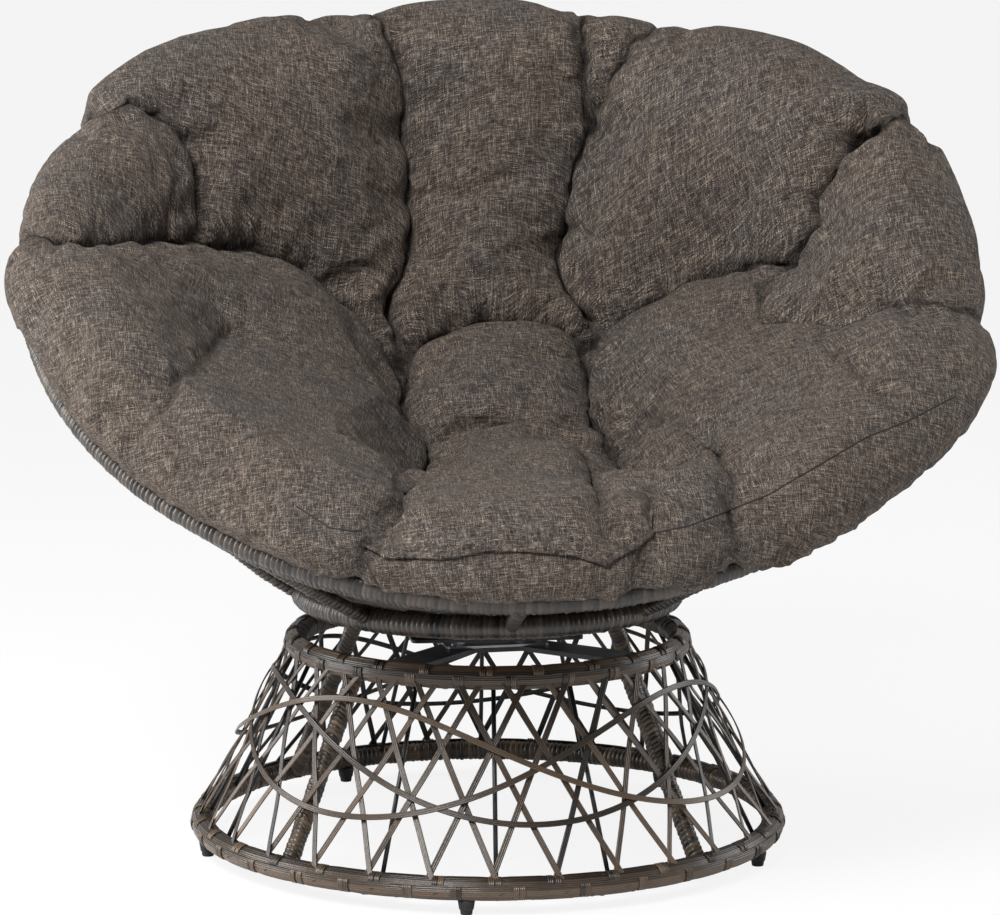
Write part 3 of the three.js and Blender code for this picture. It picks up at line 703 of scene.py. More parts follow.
# %% Plait on the base rings
ROW_ANGLES = ((-34, -11, 12), (35, 58, 81))  # tube angles of the strips, by row
STRIP_STEPS = 14  # places of a strip from one tie to the next
STRIP_LIFT, STRIP_DIP = 0.9 * MM, 0.7 * MM
STRIP_SWAY, SWAYS, SWAY_START = math.radians(2.5), 3, 6  # how far, how often, from where at most
TIE_ARCS, TIE_STEPS = ((-50, 28), (20, 97)), 9
TIE_LIFT, TIE_END_DROP = 2.0 * MM, 1.7 * MM
TIE_GAP, TIE_LEAN = 5.9 * MM, 0.004  # between the two ties of a pair, and how unevenly
TIE_SPREAD = 0.06  # how unevenly the pairs are spaced, in spacings


def ring_place(node, turn, angle, out):
    """A place on a ring's tube: turn round the ring, angle round the tube, both in radians."""
    centre, _, radius, tube = rings[node]
    reach = radius + (tube + out) * np.cos(angle)
    return np.stack([reach * np.sin(turn), -reach * np.cos(turn),
                     centre[2] + (tube + out) * np.sin(angle)], -1)


def plait(node, tie_count):
    """The strips and ties of one ring."""
    radius = rings[node][2]
    parts = []
    turns = np.linspace(0, 2 * np.pi, tie_count * STRIP_STEPS, endpoint=False)
    for row, angles in enumerate(ROW_ANGLES):
        wave = np.cos(tie_count * (turns - row * np.pi / tie_count))
        for angle in np.radians(angles):
            out = STRIP_LIFT - STRIP_DIP * wave.clip(0, 1)
            sway = STRIP_SWAY * rng.standard_normal() * np.sin(
                SWAYS * turns + rng.random() * SWAY_START)
            tilt = np.full_like(turns, angle) + sway
            line = ring_place(node, turns, tilt, out)
            outer = ring_place(node, turns, tilt, out + MM)
            parts.append(strand(line, unit(outer - line), True))
        for k in range(tie_count):
            middle = 2 * np.pi * (k + row / 2 + TIE_SPREAD * rng.standard_normal()) / tie_count
            for offset in (-0.5, 0.5):
                arc = np.radians(np.linspace(*TIE_ARCS[row], TIE_STEPS))
                out = TIE_LIFT - TIE_END_DROP * np.abs(np.linspace(-1, 1, TIE_STEPS)) ** 4
                turn = middle + offset * TIE_GAP / radius + TIE_LEAN * rng.standard_normal()
                turn = np.full(TIE_STEPS, turn)
                line = ring_place(node, turn, arc, out)
                outer = ring_place(node, turn, arc, out + MM)
                parts.append(strand(line, unit(outer - line)))
    return parts


UNDER_PLAIT = 0.2 * MM  # how far the winding lies inside the solid, to make room
BASE_RING_SIDES, BASE_RING_LEAN = 14, 0.3
for name, node, braid, tie_count in (("base_ring", "base_ring", "lower_ring_braid", 32),
                                     ("upper_ring", "upper_base_ring", "upper_ring_braid", 24)):
    _, axis, _, tube = rings[node]
    part = winding(ring_line(node), axis, tube - UNDER_PLAIT, CANE_PITCH, True,
                   BASE_RING_SIDES, BASE_RING_LEAN)
    piece(name + "_winding", [part], laced_cane, "base", [node])
    piece(name + "_plait", plait(node, tie_count), laced_cane, "base", [braid])

# %% [markdown]
# The swivel's plates, cross bars and bolts keep their solids. A small bevel gives each edge
# the highlight that a rolled or pressed steel edge has.

# %% Swivel hardware
EDGE_ROUND, EDGE_STEPS, EDGE_SHARP = 0.6 * MM, 2, math.radians(35)
for name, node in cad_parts.items():
    if node.hide_render or name == "cushion":
        continue
    dark = name in ("lower_cross", "upper_cross")
    node.data.materials.clear()
    node.data.materials.append(black_steel if dark else zinc_steel)
    bevel = node.modifiers.new("edge", "BEVEL")
    bevel.width, bevel.segments = EDGE_ROUND, EDGE_STEPS
    bevel.limit_method, bevel.angle_limit = "ANGLE", EDGE_SHARP
print("bevelled:", sum(1 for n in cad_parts.values() if n.modifiers))

# %% [markdown]
# The cushion is a round tufted pad of eight puffed petals round a seat, pressed into the bowl.
# It could be sculpted by hand, but a formula keeps it exact: a crown surface is drawn in the
# rim's own frame, and it sinks towards the creases as a stuffed pad does, steep at the crease
# and flat on the crown. Cloth under pressure then gives it the fullness of real stuffing.

# %% Cushion measures
RIM_CENTRE, RIM_AXIS, RIM_RADIUS, RIM_TUBE = rings["rim_ring"]
SECTORS = 360
# Radius share of the edge, height and front lift as shares of the rim's radius, puff in mm
TOP_SHARES = (
    (0.00, -0.350, 0.000, 70), (0.09, -0.340, 0.024, 74), (0.19, -0.312, 0.058, 84),
    (0.29, -0.272, 0.088, 94), (0.39, -0.222, 0.106, 102), (0.49, -0.165, 0.102, 106),
    (0.59, -0.100, 0.086, 106), (0.69, -0.018, 0.062, 100), (0.79, 0.074, 0.044, 84),
    (0.88, 0.128, 0.036, 68), (0.955, 0.098, 0.032, 58), (1.00, 0.034, 0.022, 52))
TOP_ROWS, UNDER_ROWS = 110, 60
SMOOTHING = 7  # rows over which the profile's corners are rounded
# The outline differs from side to side: azimuth, edge radius and crown lift in mm, droop share
OUTLINE = (
    (-180, 522, 0, 1), (-165, 524, 5, 1), (-150, 529, 8, 1), (-135, 538, 16, 1),
    (-127, 540, 20, 1), (-118, 526, 8, 1), (-110, 524, 2, 0.8), (-102, 523, 8, 0.8),
    (-93, 534, 14, 0.7), (-86, 528, 8, 0.5), (-78, 516, 4, 0.4), (-70, 514, 2, 0.3),
    (-55, 514, 0, 0.25), (-38, 515, 0, 0.25), (-24, 521, 0, 0.5), (-10, 522, 0, 0.5),
    (12, 522, 0, 0.5), (22, 523, 0, 0.8), (30, 525, 0, 1), (40, 532, 0, 1),
    (50, 544, 0, 1), (60, 558, 2, 1), (70, 562, 4, 1), (80, 552, 4, 1), (90, 548, 12, 1),
    (100, 553, 30, 1), (108, 562, 52, 1), (116, 562, 58, 1), (123, 550, 44, 1),
    (132, 546, 42, 1), (142, 540, 26, 1), (152, 534, 8, 1), (165, 530, 4, 1),
    (180, 522, 0, 1))
print("profile rows:", TOP_ROWS, "outline places:", len(OUTLINE))

# %% Helpers for the cushion


def smooth_rows(table, rows):
    """A table of shares carried over evenly spaced rows, its corners rounded."""
    table = np.array(table, float)
    run = np.concatenate([[0], np.cumsum(np.hypot(np.diff(table[:, 0]), np.diff(table[:, 1])))])
    even = np.linspace(0, run[-1], rows)
    columns = np.stack([np.interp(even, run, table[:, k]) for k in range(table.shape[1])], 1)
    beyond = np.vstack([2 * columns[0] - columns[SMOOTHING:0:-1], columns,
                        2 * columns[-1] - columns[-2:-SMOOTHING - 2:-1]])
    window = np.hanning(2 * SMOOTHING + 3)[1:-1]
    window = window / window.sum()
    return np.stack([np.convolve(beyond[:, k], window, "valid")
                     for k in range(table.shape[1])], 1)


def in_rim(azimuths, radii, heights):
    """Places in the rim's frame, as places in the room."""
    turn = np.radians(azimuths)
    x, y, z = radii * np.sin(turn), -radii * np.cos(turn), heights
    c, s = math.cos(RIM_TILT), math.sin(RIM_TILT)
    return np.stack(np.broadcast_arrays(x, y * c - z * s, y * s + z * c), -1) + RIM_CENTRE


def eased(low, high, value):
    """A smooth step from 0 at low to 1 at high."""
    share = np.clip((value - low) / (high - low), 0, 1)
    return share * share * (3 - 2 * share)


print("half way of an eased step:", eased(0, 2, 1))

# %% Cushion top
LIFT_FROM, CROWN_AT = 0.55, 0.88  # shares of the radius where the lift sets in and is full
FRONT_SINK, FRONT_SHOULDER = 20 * MM, 10 * MM  # how much flatter the pad lies in front
FRONT_POWER = 1.5  # above 1 the flatter front is narrower
SHOULDER_FROM, RAISED_FROM, EDGE_FROM = 0.7, 0.9, 0.93  # shares of the radius
RIM_OUT = RIM_RADIUS + RIM_TUBE
ON_RIM, EDGE_THICKNESS = 14 * MM, 12 * MM  # where the pad rests, and how thick it is there
DROOP_FROM, DROOP_FULL = 2 * MM, 9 * MM  # overhangs at which the edge starts to hang down
top_rows = smooth_rows(TOP_SHARES, TOP_ROWS)
sectors = np.arange(SECTORS) * 360 / SECTORS - 180
outline = np.stack([np.interp(sectors, np.array(OUTLINE)[:, 0], np.array(OUTLINE)[:, k])
                    for k in (1, 2, 3)], 1)
edge, crown_lift = outline[:, 0] * MM, outline[:, 1] * MM
droop = outline[:, 2] * eased(DROOP_FROM, DROOP_FULL, edge - RIM_OUT)


def top_heights():
    """How high the crown surface is: rows from the middle to the edge, for every sector."""
    share, height, lift, _ = top_rows.T
    heights = RIM_RADIUS * (height[None] + lift[None] * np.cos(np.radians(sectors))[:, None])
    heights = heights + crown_lift[:, None] * eased(LIFT_FROM, CROWN_AT, share)[None]
    front = (0.5 + 0.5 * np.cos(np.radians(sectors))) ** FRONT_POWER
    at_edge = eased(EDGE_FROM, 1.0, share)
    shoulder = eased(SHOULDER_FROM, CROWN_AT, share) - at_edge
    lower = FRONT_SINK * (1 - at_edge) + FRONT_SHOULDER * shoulder
    heights = heights - front[:, None] * lower[None]
    lacking = np.maximum(ON_RIM + EDGE_THICKNESS * (1 - droop) - heights[:, -1], 0) * (1 - droop)
    return heights + lacking[:, None] * eased(RAISED_FROM, 1.0, share)[None]


crown_heights = top_heights()
edge_height = crown_heights[:, -1]
print("crown's highest place over the rim:", round(float(crown_heights.max()), 3))

# %% Cushion side and underside
# Down beside the rim: share of the overhang, how much of the edge's height is left where the
# pad rests on the rim, and where it droops: as such a share, or at last as a height in mm
SIDE = ((1.0, 0.9, 0.85), (0.98, 0.57, 0.45), (0.9, 0.29, 0.1), (0.7, 0.14, 0.0))
INSIDE = ((0.45, 0.07, -8), (0.25, 0.04, -4), (0.12, 0.01, 0), (0.03, 0.0, 5))
LIP_BELOW, LIP_HEIGHT = -10 * MM, 14 * MM
# Over the rim: offset from the rim's line and height, as shares of its tube
OVER = ((0.85, 0.72), (0.4, 1.07), (0.0, 1.12), (-0.45, 1.07), (-0.9, 0.8))
SIDE_ROWS = len(SIDE) + len(INSIDE) + len(OVER)
UNDER_FROM, UNDER_TO = RIM_RADIUS - 2.2 * RIM_TUBE, 4 * MM  # radii of the underside's rows
FAR_BELOW = 0.8
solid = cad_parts["cushion"]
solid_skin = BVHTree.FromPolygons([v.co for v in solid.data.vertices],
                                  [tuple(p.vertices) for p in solid.data.polygons])


def under_height(azimuth, radius):
    """How high the solid's underside is over the rim's plane, found by a ray from below."""
    start_at = Vector(in_rim(azimuth, radius, -FAR_BELOW))
    way_up = solid_skin.ray_cast(start_at, Vector(RIM_AXIS))[3]
    return math.nan if way_up is None else way_up - FAR_BELOW


def under_surface():
    """Rows round the rim and down the underside to its middle."""
    lip = np.minimum(LIP_BELOW, edge_height - LIP_HEIGHT)
    rows = []
    for share, resting, drooping in SIDE + INSIDE:
        rest = ON_RIM + (edge_height - ON_RIM) * resting
        fall = lip + (edge_height - lip) * drooping if len(rows) < len(SIDE) else drooping * MM
        rows.append(in_rim(sectors, RIM_OUT + share * (edge - RIM_OUT),
                           droop * fall + (1 - droop) * rest))
    rows += [in_rim(sectors, RIM_RADIUS + aside * RIM_TUBE, high * RIM_TUBE)
             for aside, high in OVER]
    for radius in np.linspace(UNDER_FROM, UNDER_TO, UNDER_ROWS):
        heights = [under_height(azimuth, radius) for azimuth in sectors]
        rows.append(in_rim(sectors, radius, np.array(heights, float)))
    return np.stack(rows, 1)


top_surface = in_rim(sectors[:, None], top_rows[:, 0] * edge[:, None], crown_heights)
crown = np.concatenate([top_surface, under_surface()], 1)
rows_in_all = crown.shape[1]
print("cushion grid:", crown.shape, "gaps:", int(np.isnan(crown).sum()))

# %% Room to sink
SIDE_PUFF = 4  # in mm, how far the side and underside may sink
# The core is a ring inside the pad's edge: share of the radius, height, and how much of the
# way to it a crease may go, from the first to the second share of the radius on
CORE_SHARE, CORE_HEIGHT, DRAWN = 0.9, 36 * MM, 0.62
CORE_FROM, CORE_FULL = 0.8, 0.93
UNDER_SKIN, LEAST_ROOM = 22 * MM, 2 * MM
LAST_CREASED = TOP_ROWS - 4


def grid_normals(grid):
    """Directions square to a grid of sectors and rows, pointing out of the pad."""
    round_about = np.roll(grid, -1, 0) - np.roll(grid, 1, 0)
    along_rows = np.gradient(grid, axis=1)
    return unit(np.cross(round_about, -along_rows) + 1e-12)


def grid_faces(rows):
    """Four-sided faces of a grid that closes round its sectors."""
    faces = []
    for i in range(SECTORS):
        here, ahead = i * rows, (i + 1) % SECTORS * rows
        for j in range(rows - 1):
            faces.append((here + j, here + j + 1, ahead + j + 1, ahead + j))
    return faces


normals = grid_normals(crown)
puff = np.full(rows_in_all, SIDE_PUFF * MM)
puff[:TOP_ROWS] = top_rows[:, 3] * MM
side_rows = slice(TOP_ROWS, TOP_ROWS + len(SIDE) + 1)
puff[side_rows] = np.linspace(top_rows[-1, 3], SIDE_PUFF, len(SIDE) + 1) * MM

# Near the edge the creases draw in towards the middle of the pad's thickness
core = in_rim(sectors, CORE_SHARE * edge, CORE_HEIGHT + crown_lift)[:, None] - crown
core_away = np.linalg.norm(core, axis=2, keepdims=True)
share_out = np.ones(rows_in_all)
share_out[:TOP_ROWS] = top_rows[:, 0]
near_edge = eased(CORE_FROM, CORE_FULL, share_out)[None, :, None]
inward = unit(-normals * (1 - near_edge) + core / core_away * near_edge)
room = puff[None, :, None] * (1 - near_edge) + near_edge * np.minimum(
    puff[None, :, None], DRAWN * core_away)

# Nor may a crease sink through the pad: it stops above the underside
below = crown[:, TOP_ROWS:]
below_skin = BVHTree.FromPolygons(below.reshape(-1, 3).tolist(), grid_faces(below.shape[1]))
free = np.full((SECTORS, rows_in_all, 1), 1.0)
for i in range(SECTORS):
    for j in range(LAST_CREASED):
        way_down = below_skin.ray_cast(Vector(crown[i, j]), Vector(inward[i, j]))[3]
        if way_down is not None:
            free[i, j, 0] = max(way_down - UNDER_SKIN, LEAST_ROOM)
room = np.minimum(room, free)
sink = inward * room
stopped = int((free < puff[None, :, None]).sum())
print("creases at most", room.max().round(3), "deep, stopped early at", stopped, "places")

# %% Unrolled places
# The side and underside hang straight down from the edge, so that a distance measured there
# never jumps across the pad's thickness
steps_down = np.linalg.norm(np.diff(crown, axis=1), axis=2).mean(0)
run_out = np.concatenate([[0], np.cumsum(steps_down)])
unrolled = crown.copy()
below_edge = run_out[TOP_ROWS:] - run_out[TOP_ROWS - 1]
unrolled[:, TOP_ROWS:] = crown[:, TOP_ROWS - 1:TOP_ROWS] - RIM_AXIS * below_edge[None, :, None]
print("pad's run from middle to edge:", round(run_out[TOP_ROWS - 1], 3))

# %% [markdown]
# The creases are where the photograph shows them. Each is a named line of picture places,
# followed along camera rays down to the bottom of the pad's valleys. A line that meets the
# outline goes on over the edge and under the pad, where the picture can't show it.

# %% Creases
# Each crease: depth share, reach in mm, how deep down the picture's line lies, whether it runs
# on over the edge, and picture places
CREASES = {
    "back_left": (1.0, 72, 1, True, ((377, 22), (387, 50), (396, 79), (398, 129), (401, 196),
                                      (401, 267), (379, 303), (377, 337), (389, 368))),
    "back_right": (1.0, 72, 1, True, ((575, 8), (581, 20), (588, 98), (594, 140), (577, 174),
                                       (571, 238), (560, 269), (571, 303), (602, 345))),
    "flap": (0.35, 40, 1, True, ((317, 17), (304, 28), (330, 55), (352, 80))),
    "small_fold": (0.9, 42, 1, True, ((664, 25), (633, 48), (610, 101), (596, 145))),
    "upper_right": (1.0, 72, 0.7, True, ((925, 112), (891, 121), (852, 157), (825, 202),
                                          (824, 238), (801, 266))),
    "under_back_right": (0.9, 75, 0.5, False, ((602, 345), (653, 311), (700, 286), (756, 266),
                                                (801, 266))),
    "right_dimple": (0.6, 60, 0.6, False, ((795, 268), (782, 303), (789, 340))),
    "right_fold": (0.8, 60, 0.4, True, ((789, 340), (857, 340), (883, 309), (911, 300),
                                        (972, 311))),
    "right_small": (0.3, 40, 0.5, False, ((835, 370), (857, 399), (892, 431))),
    "upper_left": (1.0, 70, 0.7, True, ((88, 121), (121, 108), (157, 121), (180, 146),
                                         (187, 180), (187, 230))),
    "left": (1.0, 75, 0.35, True, ((27, 235), (70, 243), (123, 244), (168, 236), (192, 243))),
    "under_back_left": (1.0, 78, 0.5, False, ((187, 235), (208, 250), (252, 247), (269, 261),
                                               (303, 274), (331, 297), (376, 345), (401, 393))),
    "left_fold": (0.2, 30, 0.7, False, ((118, 135), (137, 171), (157, 219))),
    "left_pinch": (0.3, 40, 0.5, False, ((80, 265), (110, 282), (134, 306))),
    "left_soft": (0.4, 60, 0.5, False, ((204, 372), (180, 402), (150, 430))),
    "seat_back": (1.0, 65, 0.5, False, ((389, 368), (400, 359), (442, 337), (487, 327),
                                        (526, 329), (569, 336), (602, 347))),
    "seat_left": (1.0, 78, 0.8, False, ((389, 368), (406, 385), (397, 424), (417, 463),
                                        (421, 486), (414, 528))),
    "seat_right": (1.0, 62, 0.8, False, ((602, 348), (585, 371), (595, 396), (597, 444),
                                         (616, 460), (616, 474), (630, 511), (650, 531))),
    "seat_waist": (0.3, 60, 0.5, False, ((400, 432), (450, 446), (500, 449), (550, 446),
                                         (598, 436))),
    "front_left": (0.7, 60, 0.5, True, ((414, 528), (385, 540), (361, 552))),
    "front_right": (0.6, 60, 0.5, True, ((650, 531), (646, 548), (640, 560))),
    "front_fold": (0.6, 30, 0.5, False, ((571, 480), (588, 503), (599, 531), (606, 560))),
    "left_loop": (0.45, 24, 0.5, False, ((368, 497), (387, 499), (393, 512), (376, 534),
                                         (361, 549))),
    "strip_left": (0.4, 25, 0.5, False, ((361, 553), (374, 580), (386, 603))),
    "strip_middle": (0.35, 25, 0.5, False, ((386, 603), (404, 594), (422, 586), (444, 600))),
    "right_pinch": (0.5, 40, 0.5, False, ((625, 455), (655, 444), (672, 463))),
    "right_pinch_two": (0.4, 40, 0.5, False, ((689, 466), (709, 491))),
    "right_front": (0.65, 60, 0.5, True, ((715, 486), (734, 508), (731, 552))),
}
print("creases:", len(CREASES))

# %% Follow the creases
CREASE_STEP = 3  # pixels between followed places
CREASE_APART = 3 * MM  # between the places kept
SKIN_NEAR, SKIN_FAR, SKIN_TRIES = 3.6, 5.2, 161  # along a ray that misses the pad, in metres
skin_rows = TOP_ROWS + len(SIDE)
ROWS_OVER = SIDE_ROWS + 2  # how many rows a crease runs on, past the edge
skin_faces = grid_faces(skin_rows)
skins = {}


def skin_at(level):
    """The pad's skin sunk everywhere by a share of the puff, kept ready for rays."""
    if level not in skins:
        places = (crown + level * sink)[:, :skin_rows].reshape(-1, 3)
        tree = kdtree.KDTree(len(places))
        for index, place in enumerate(places):
            tree.insert(place, index)
        tree.balance()
        skins[level] = (BVHTree.FromPolygons(places.tolist(), skin_faces), tree)
    return skins[level]


def on_pad(px, py, level):
    """The sector and row that a picture place shows."""
    skin, tree = skin_at(level)
    ray = ray_through(px, py)
    seen_at = skin.ray_cast(CAMERA_PLACE, ray)[0]
    if seen_at is None:
        tries = np.linspace(SKIN_NEAR, SKIN_FAR, SKIN_TRIES)
        seen_at = min((CAMERA_PLACE + ray * reach for reach in tries),
                      key=lambda spot: tree.find(spot)[2])
    return divmod(tree.find(seen_at)[1], skin_rows)


def follow(points, level):
    """Sectors and rows along a line of picture places."""
    line = np.array(points, float)
    run = np.concatenate([[0], np.cumsum(np.hypot(*np.diff(line, axis=0).T))])
    spots = np.arange(0, run[-1], CREASE_STEP)
    return [on_pad(np.interp(s, run, line[:, 0]), np.interp(s, run, line[:, 1]), level)
            for s in spots]


def over_edge(sector, row):
    """Sectors and rows from a place out to the edge and some way under it."""
    return [(sector, j) for j in range(row, TOP_ROWS + ROWS_OVER)]


def fill_in(cells):
    """Places along a chain of cells, close enough together for even distances."""
    places = unrolled[tuple(np.array(cells).T)]
    run = np.concatenate([[0], np.cumsum(np.linalg.norm(np.diff(places, axis=0), axis=1))])
    even = np.linspace(0, run[-1], max(2, int(run[-1] / CREASE_APART)))
    return np.stack([np.interp(even, run, places[:, k]) for k in range(3)], 1)


def away_from(places, line):
    """The distance of each place from a line, and its nearest point on the line."""
    square = (places ** 2).sum(1)[:, None] + (line ** 2).sum(1)[None] - 2 * places @ line.T
    nearest = square.argmin(1)
    return np.sqrt(np.maximum(square.min(1), 0)), line[nearest]


crease_lines = {}
for name, (_, _, level, runs_over, points) in CREASES.items():
    cells = follow(points, level)
    if runs_over:
        if cells[0][1] > cells[-1][1]:
            cells.reverse()
        cells += over_edge(*cells[-1])
    crease_lines[name] = fill_in(cells)
print("places on the creases:", sum(len(line) for line in crease_lines.values()))

# %% Sink the creases
CREASE_POWER = 0.62  # below 1 the petals rise steeper out of a crease
WALL_SHARE, WALL_REACH, SLOPE_REACH = 0.62, 0.7, 1.7  # a steep wall, then a long soft slope
SOFTENED = 14 * MM  # how much farther off the softest crease counts
PINCH, PINCH_FROM, PINCH_FULL, PINCH_END = 8.5 * MM, 2 * MM, 11 * MM, 48 * MM
FADE_ROWS, FADE_STEP = 12, 2.5 * MM
flat_unrolled = unrolled.reshape(-1, 3)
depth = np.zeros(len(flat_unrolled))
nearest_crease = np.full(len(flat_unrolled), 1.0)
toward = np.zeros_like(flat_unrolled)
pinch_share = np.zeros(len(flat_unrolled))
for name, line in crease_lines.items():
    depth_share, reach = CREASES[name][0], CREASES[name][1] * MM
    away, spot = away_from(flat_unrolled, line)
    on_wall = 1 - np.minimum(away / reach / WALL_REACH, 1)
    on_slope = 1 - np.minimum(away / reach / SLOPE_REACH, 1)
    wall = 1 - np.sqrt(1 - on_wall ** 2) ** CREASE_POWER
    depth = np.maximum(depth, depth_share * (WALL_SHARE * wall + (1 - WALL_SHARE) * on_slope ** 2))
    softened = away + (1 - depth_share) * SOFTENED
    closer = softened < nearest_crease
    nearest_crease[closer] = softened[closer]
    toward[closer] = ((spot - flat_unrolled) / np.maximum(away, MM)[:, None])[closer]
    beside = eased(PINCH_FROM, PINCH_FULL, away) * (1 - eased(PINCH_FULL, PINCH_END, away))
    pinch_share[closer] = depth_share * beside[closer]
depth = depth.reshape(SECTORS, rows_in_all)
shaped = crown + sink * depth[:, :, None]
# The petals' edges close over the creases
pinched = toward * (PINCH * pinch_share)[:, None]
on_crown = (np.arange(len(flat_unrolled)) % rows_in_all) < LAST_CREASED
pinched = pinched * on_crown[:, None]
nearest_crease = nearest_crease.reshape(SECTORS, rows_in_all)
# On the side and underside the creases fade out
rows_down = np.arange(rows_in_all - TOP_ROWS)
nearest_crease[:, TOP_ROWS:] += np.minimum(rows_down, FADE_ROWS) * FADE_STEP
print("deepest:", round(float(np.linalg.norm(shaped - crown, axis=2).max()), 3))

# %% [markdown]
# The grid becomes a closed mesh, then an even net of 7.5 mm cells, which cloth needs. Pressure
# swells it from inside while the creases and the underside are held. No place may move more
# than the cap, so the pad keeps to its space in the bowl. Soft wrinkles are added last.

# %% Stuff the cushion
CELL = 7.5 * MM


def closed_pad(grid):
    """A closed mesh from the grid, with a fan at each pole."""
    rows = grid.shape[1]
    verts = grid.reshape(-1, 3)
    top_pole, under_pole = len(verts), len(verts) + 1
    verts = np.vstack([verts, grid[:, 0].mean(0), grid[:, -1].mean(0)])
    faces = grid_faces(rows)
    for i in range(SECTORS):
        here, ahead = i * rows, (i + 1) % SECTORS * rows
        faces.append((top_pole, here, ahead))
        faces.append((under_pole, ahead + rows - 1, here + rows - 1))
    mesh = bpy.data.meshes.new("cushion_pad")
    mesh.from_pydata(verts.tolist(), [], faces)
    return mesh


pad = bpy.data.objects.new("cushion_pad", closed_pad(shaped[:, 1:]))
bpy.context.scene.collection.objects.link(pad)
bpy.context.view_layer.objects.active = pad
remesh = pad.modifiers.new("even_net", "REMESH")
remesh.mode, remesh.voxel_size = "VOXEL", CELL
bpy.ops.object.modifier_apply(modifier=remesh.name)


def places_of(thing):
    """A mesh object's vertices as rows."""
    places = np.zeros(len(thing.data.vertices) * 3)
    thing.data.vertices.foreach_get("co", places)
    return places.reshape(-1, 3)


grid_tree = kdtree.KDTree(SECTORS * rows_in_all)
for index, place in enumerate(shaped.reshape(-1, 3)):
    grid_tree.insert(place, index)
grid_tree.balance()
before = places_of(pad)
cells_of = np.array([grid_tree.find(place)[1] for place in before])
print("net:", len(before), "places")

# %% Pressure
MOVE_CAP = 27 * MM
SIM_FRAMES = 16
HELD_BESIDE, HELD_ROWS = 5 * MM, 6  # next to a crease, and of the side's last rows
CLOTH = {"use_pressure": True, "uniform_pressure_force": 5, "quality": 4, "mass": 0.3,
         "tension_stiffness": 12, "compression_stiffness": 12, "shear_stiffness": 4,
         "bending_stiffness": 0.6, "shrink_min": -0.05}
row_of = cells_of % rows_in_all
held = ((nearest_crease.ravel()[cells_of] < HELD_BESIDE)
        | (row_of > TOP_ROWS + SIDE_ROWS - HELD_ROWS))
moved = np.zeros_like(before)
group = pad.vertex_groups.new(name="held")
group.add(np.flatnonzero(held).tolist(), 1.0, "REPLACE")
cloth = pad.modifiers.new("stuffing", "CLOTH")
cloth.settings.vertex_group_mass = group.name
for label, value in CLOTH.items():
    setattr(cloth.settings, label, value)
cloth.settings.effector_weights.gravity = 0
cloth.point_cache.frame_end = SIM_FRAMES
for step in range(1, SIM_FRAMES + 1):
    bpy.context.scene.frame_set(step)
bpy.context.view_layer.update()
swollen_pad = pad.evaluated_get(bpy.context.evaluated_depsgraph_get())
after = np.zeros(len(before) * 3)
swollen_pad.data.vertices.foreach_get("co", after)
pad.modifiers.remove(cloth)
moved = after.reshape(-1, 3) - before
length = np.linalg.norm(moved, axis=1, keepdims=True)
moved = moved * np.minimum(1, MOVE_CAP / np.maximum(length, 1e-9))
bpy.context.scene.frame_set(1)
print("moved at most", round(float(length.max()), 4), "mean", round(float(length.mean()), 4))

# %% Wrinkles
# Soft ridges over the top, strongest beside the creases and gone before the edge
WRINKLES, WRINKLE_HEIGHT = 24, 8 * MM  # how many to the metre, and how high
WRINKLE_FROM, WRINKLE_REACH, WRINKLE_LOSS = 8 * MM, 80 * MM, 0.7
WRINKLES_FADE, WRINKLES_END = 0.86, 0.97  # shares of the radius
ridges = np.array([0.5 - 2 * abs(noise.noise(Vector(spot) * WRINKLES)) for spot in before])
away = nearest_crease.ravel()[cells_of]
gathered = 1 - WRINKLE_LOSS * eased(WRINKLE_FROM, WRINKLE_REACH, away)
gathered = gathered * (1 - eased(WRINKLES_FADE, WRINKLES_END, share_out[row_of]))
wrinkled = normals.reshape(-1, 3)[cells_of] * (WRINKLE_HEIGHT * ridges * gathered)[:, None]
print("wrinkles at most", round(float(np.abs(ridges * gathered).max() * WRINKLE_HEIGHT), 4))
pad.data.vertices.foreach_set("co", (before + moved + pinched[cells_of] + wrinkled).ravel())

# %% Flat places for the weave


def spread_out(radius, radii, runs):
    """How far out a place lies on the cloth spread flat: between its radius and its run."""
    runs = (runs + runs[-1] * radii / radii[-1]) / 2
    return np.interp(radius, radii, runs) + np.maximum(radius - radii[-1], 0)


STEEP_FROM, STEEP_TO = 0.84, 0.92  # shares of the radius where the edge turns down
UNDER_BLEND = 3  # rows before the underside that already count as underside
from_rim = before - RIM_CENTRE
aside = from_rim[:, 0]
ahead_of = from_rim[:, 1] * math.cos(RIM_TILT) + from_rim[:, 2] * math.sin(RIM_TILT)
radius = np.hypot(aside, ahead_of)
even_radii = top_rows[:, 0] * edge.mean()
even_radius = radius * edge.mean() / edge[cells_of // rows_in_all]
top_lie = spread_out(even_radius, even_radii, run_out[:TOP_ROWS])
# On the steep edge it goes by the rows instead, measured on from the nearest one
row_lie = spread_out(even_radii, even_radii, run_out[:TOP_ROWS])
row_lie = np.concatenate([row_lie, row_lie[-1] + run_out[TOP_ROWS:] - run_out[TOP_ROWS - 1]])
row_way = np.gradient(shaped, axis=1).reshape(-1, 3)[cells_of]
row_part = ((before - shaped.reshape(-1, 3)[cells_of]) * row_way).sum(1) / (row_way ** 2).sum(1)
edge_lie = row_lie[row_of] + np.clip(row_part, -1, 1) * np.gradient(row_lie)[row_of]
steep = eased(STEEP_FROM, STEEP_TO, share_out[row_of]) * (row_of < TOP_ROWS)
steep = steep + (row_of >= TOP_ROWS)
under_rows = TOP_ROWS + SIDE_ROWS
under_radii = np.linspace(UNDER_TO, UNDER_FROM, UNDER_ROWS)
under_lie = spread_out(radius, under_radii, (run_out[-1] - run_out[under_rows:])[::-1])
on_top = row_of < under_rows - UNDER_BLEND
lie = np.where(on_top, top_lie * (1 - steep) + edge_lie * steep, under_lie)
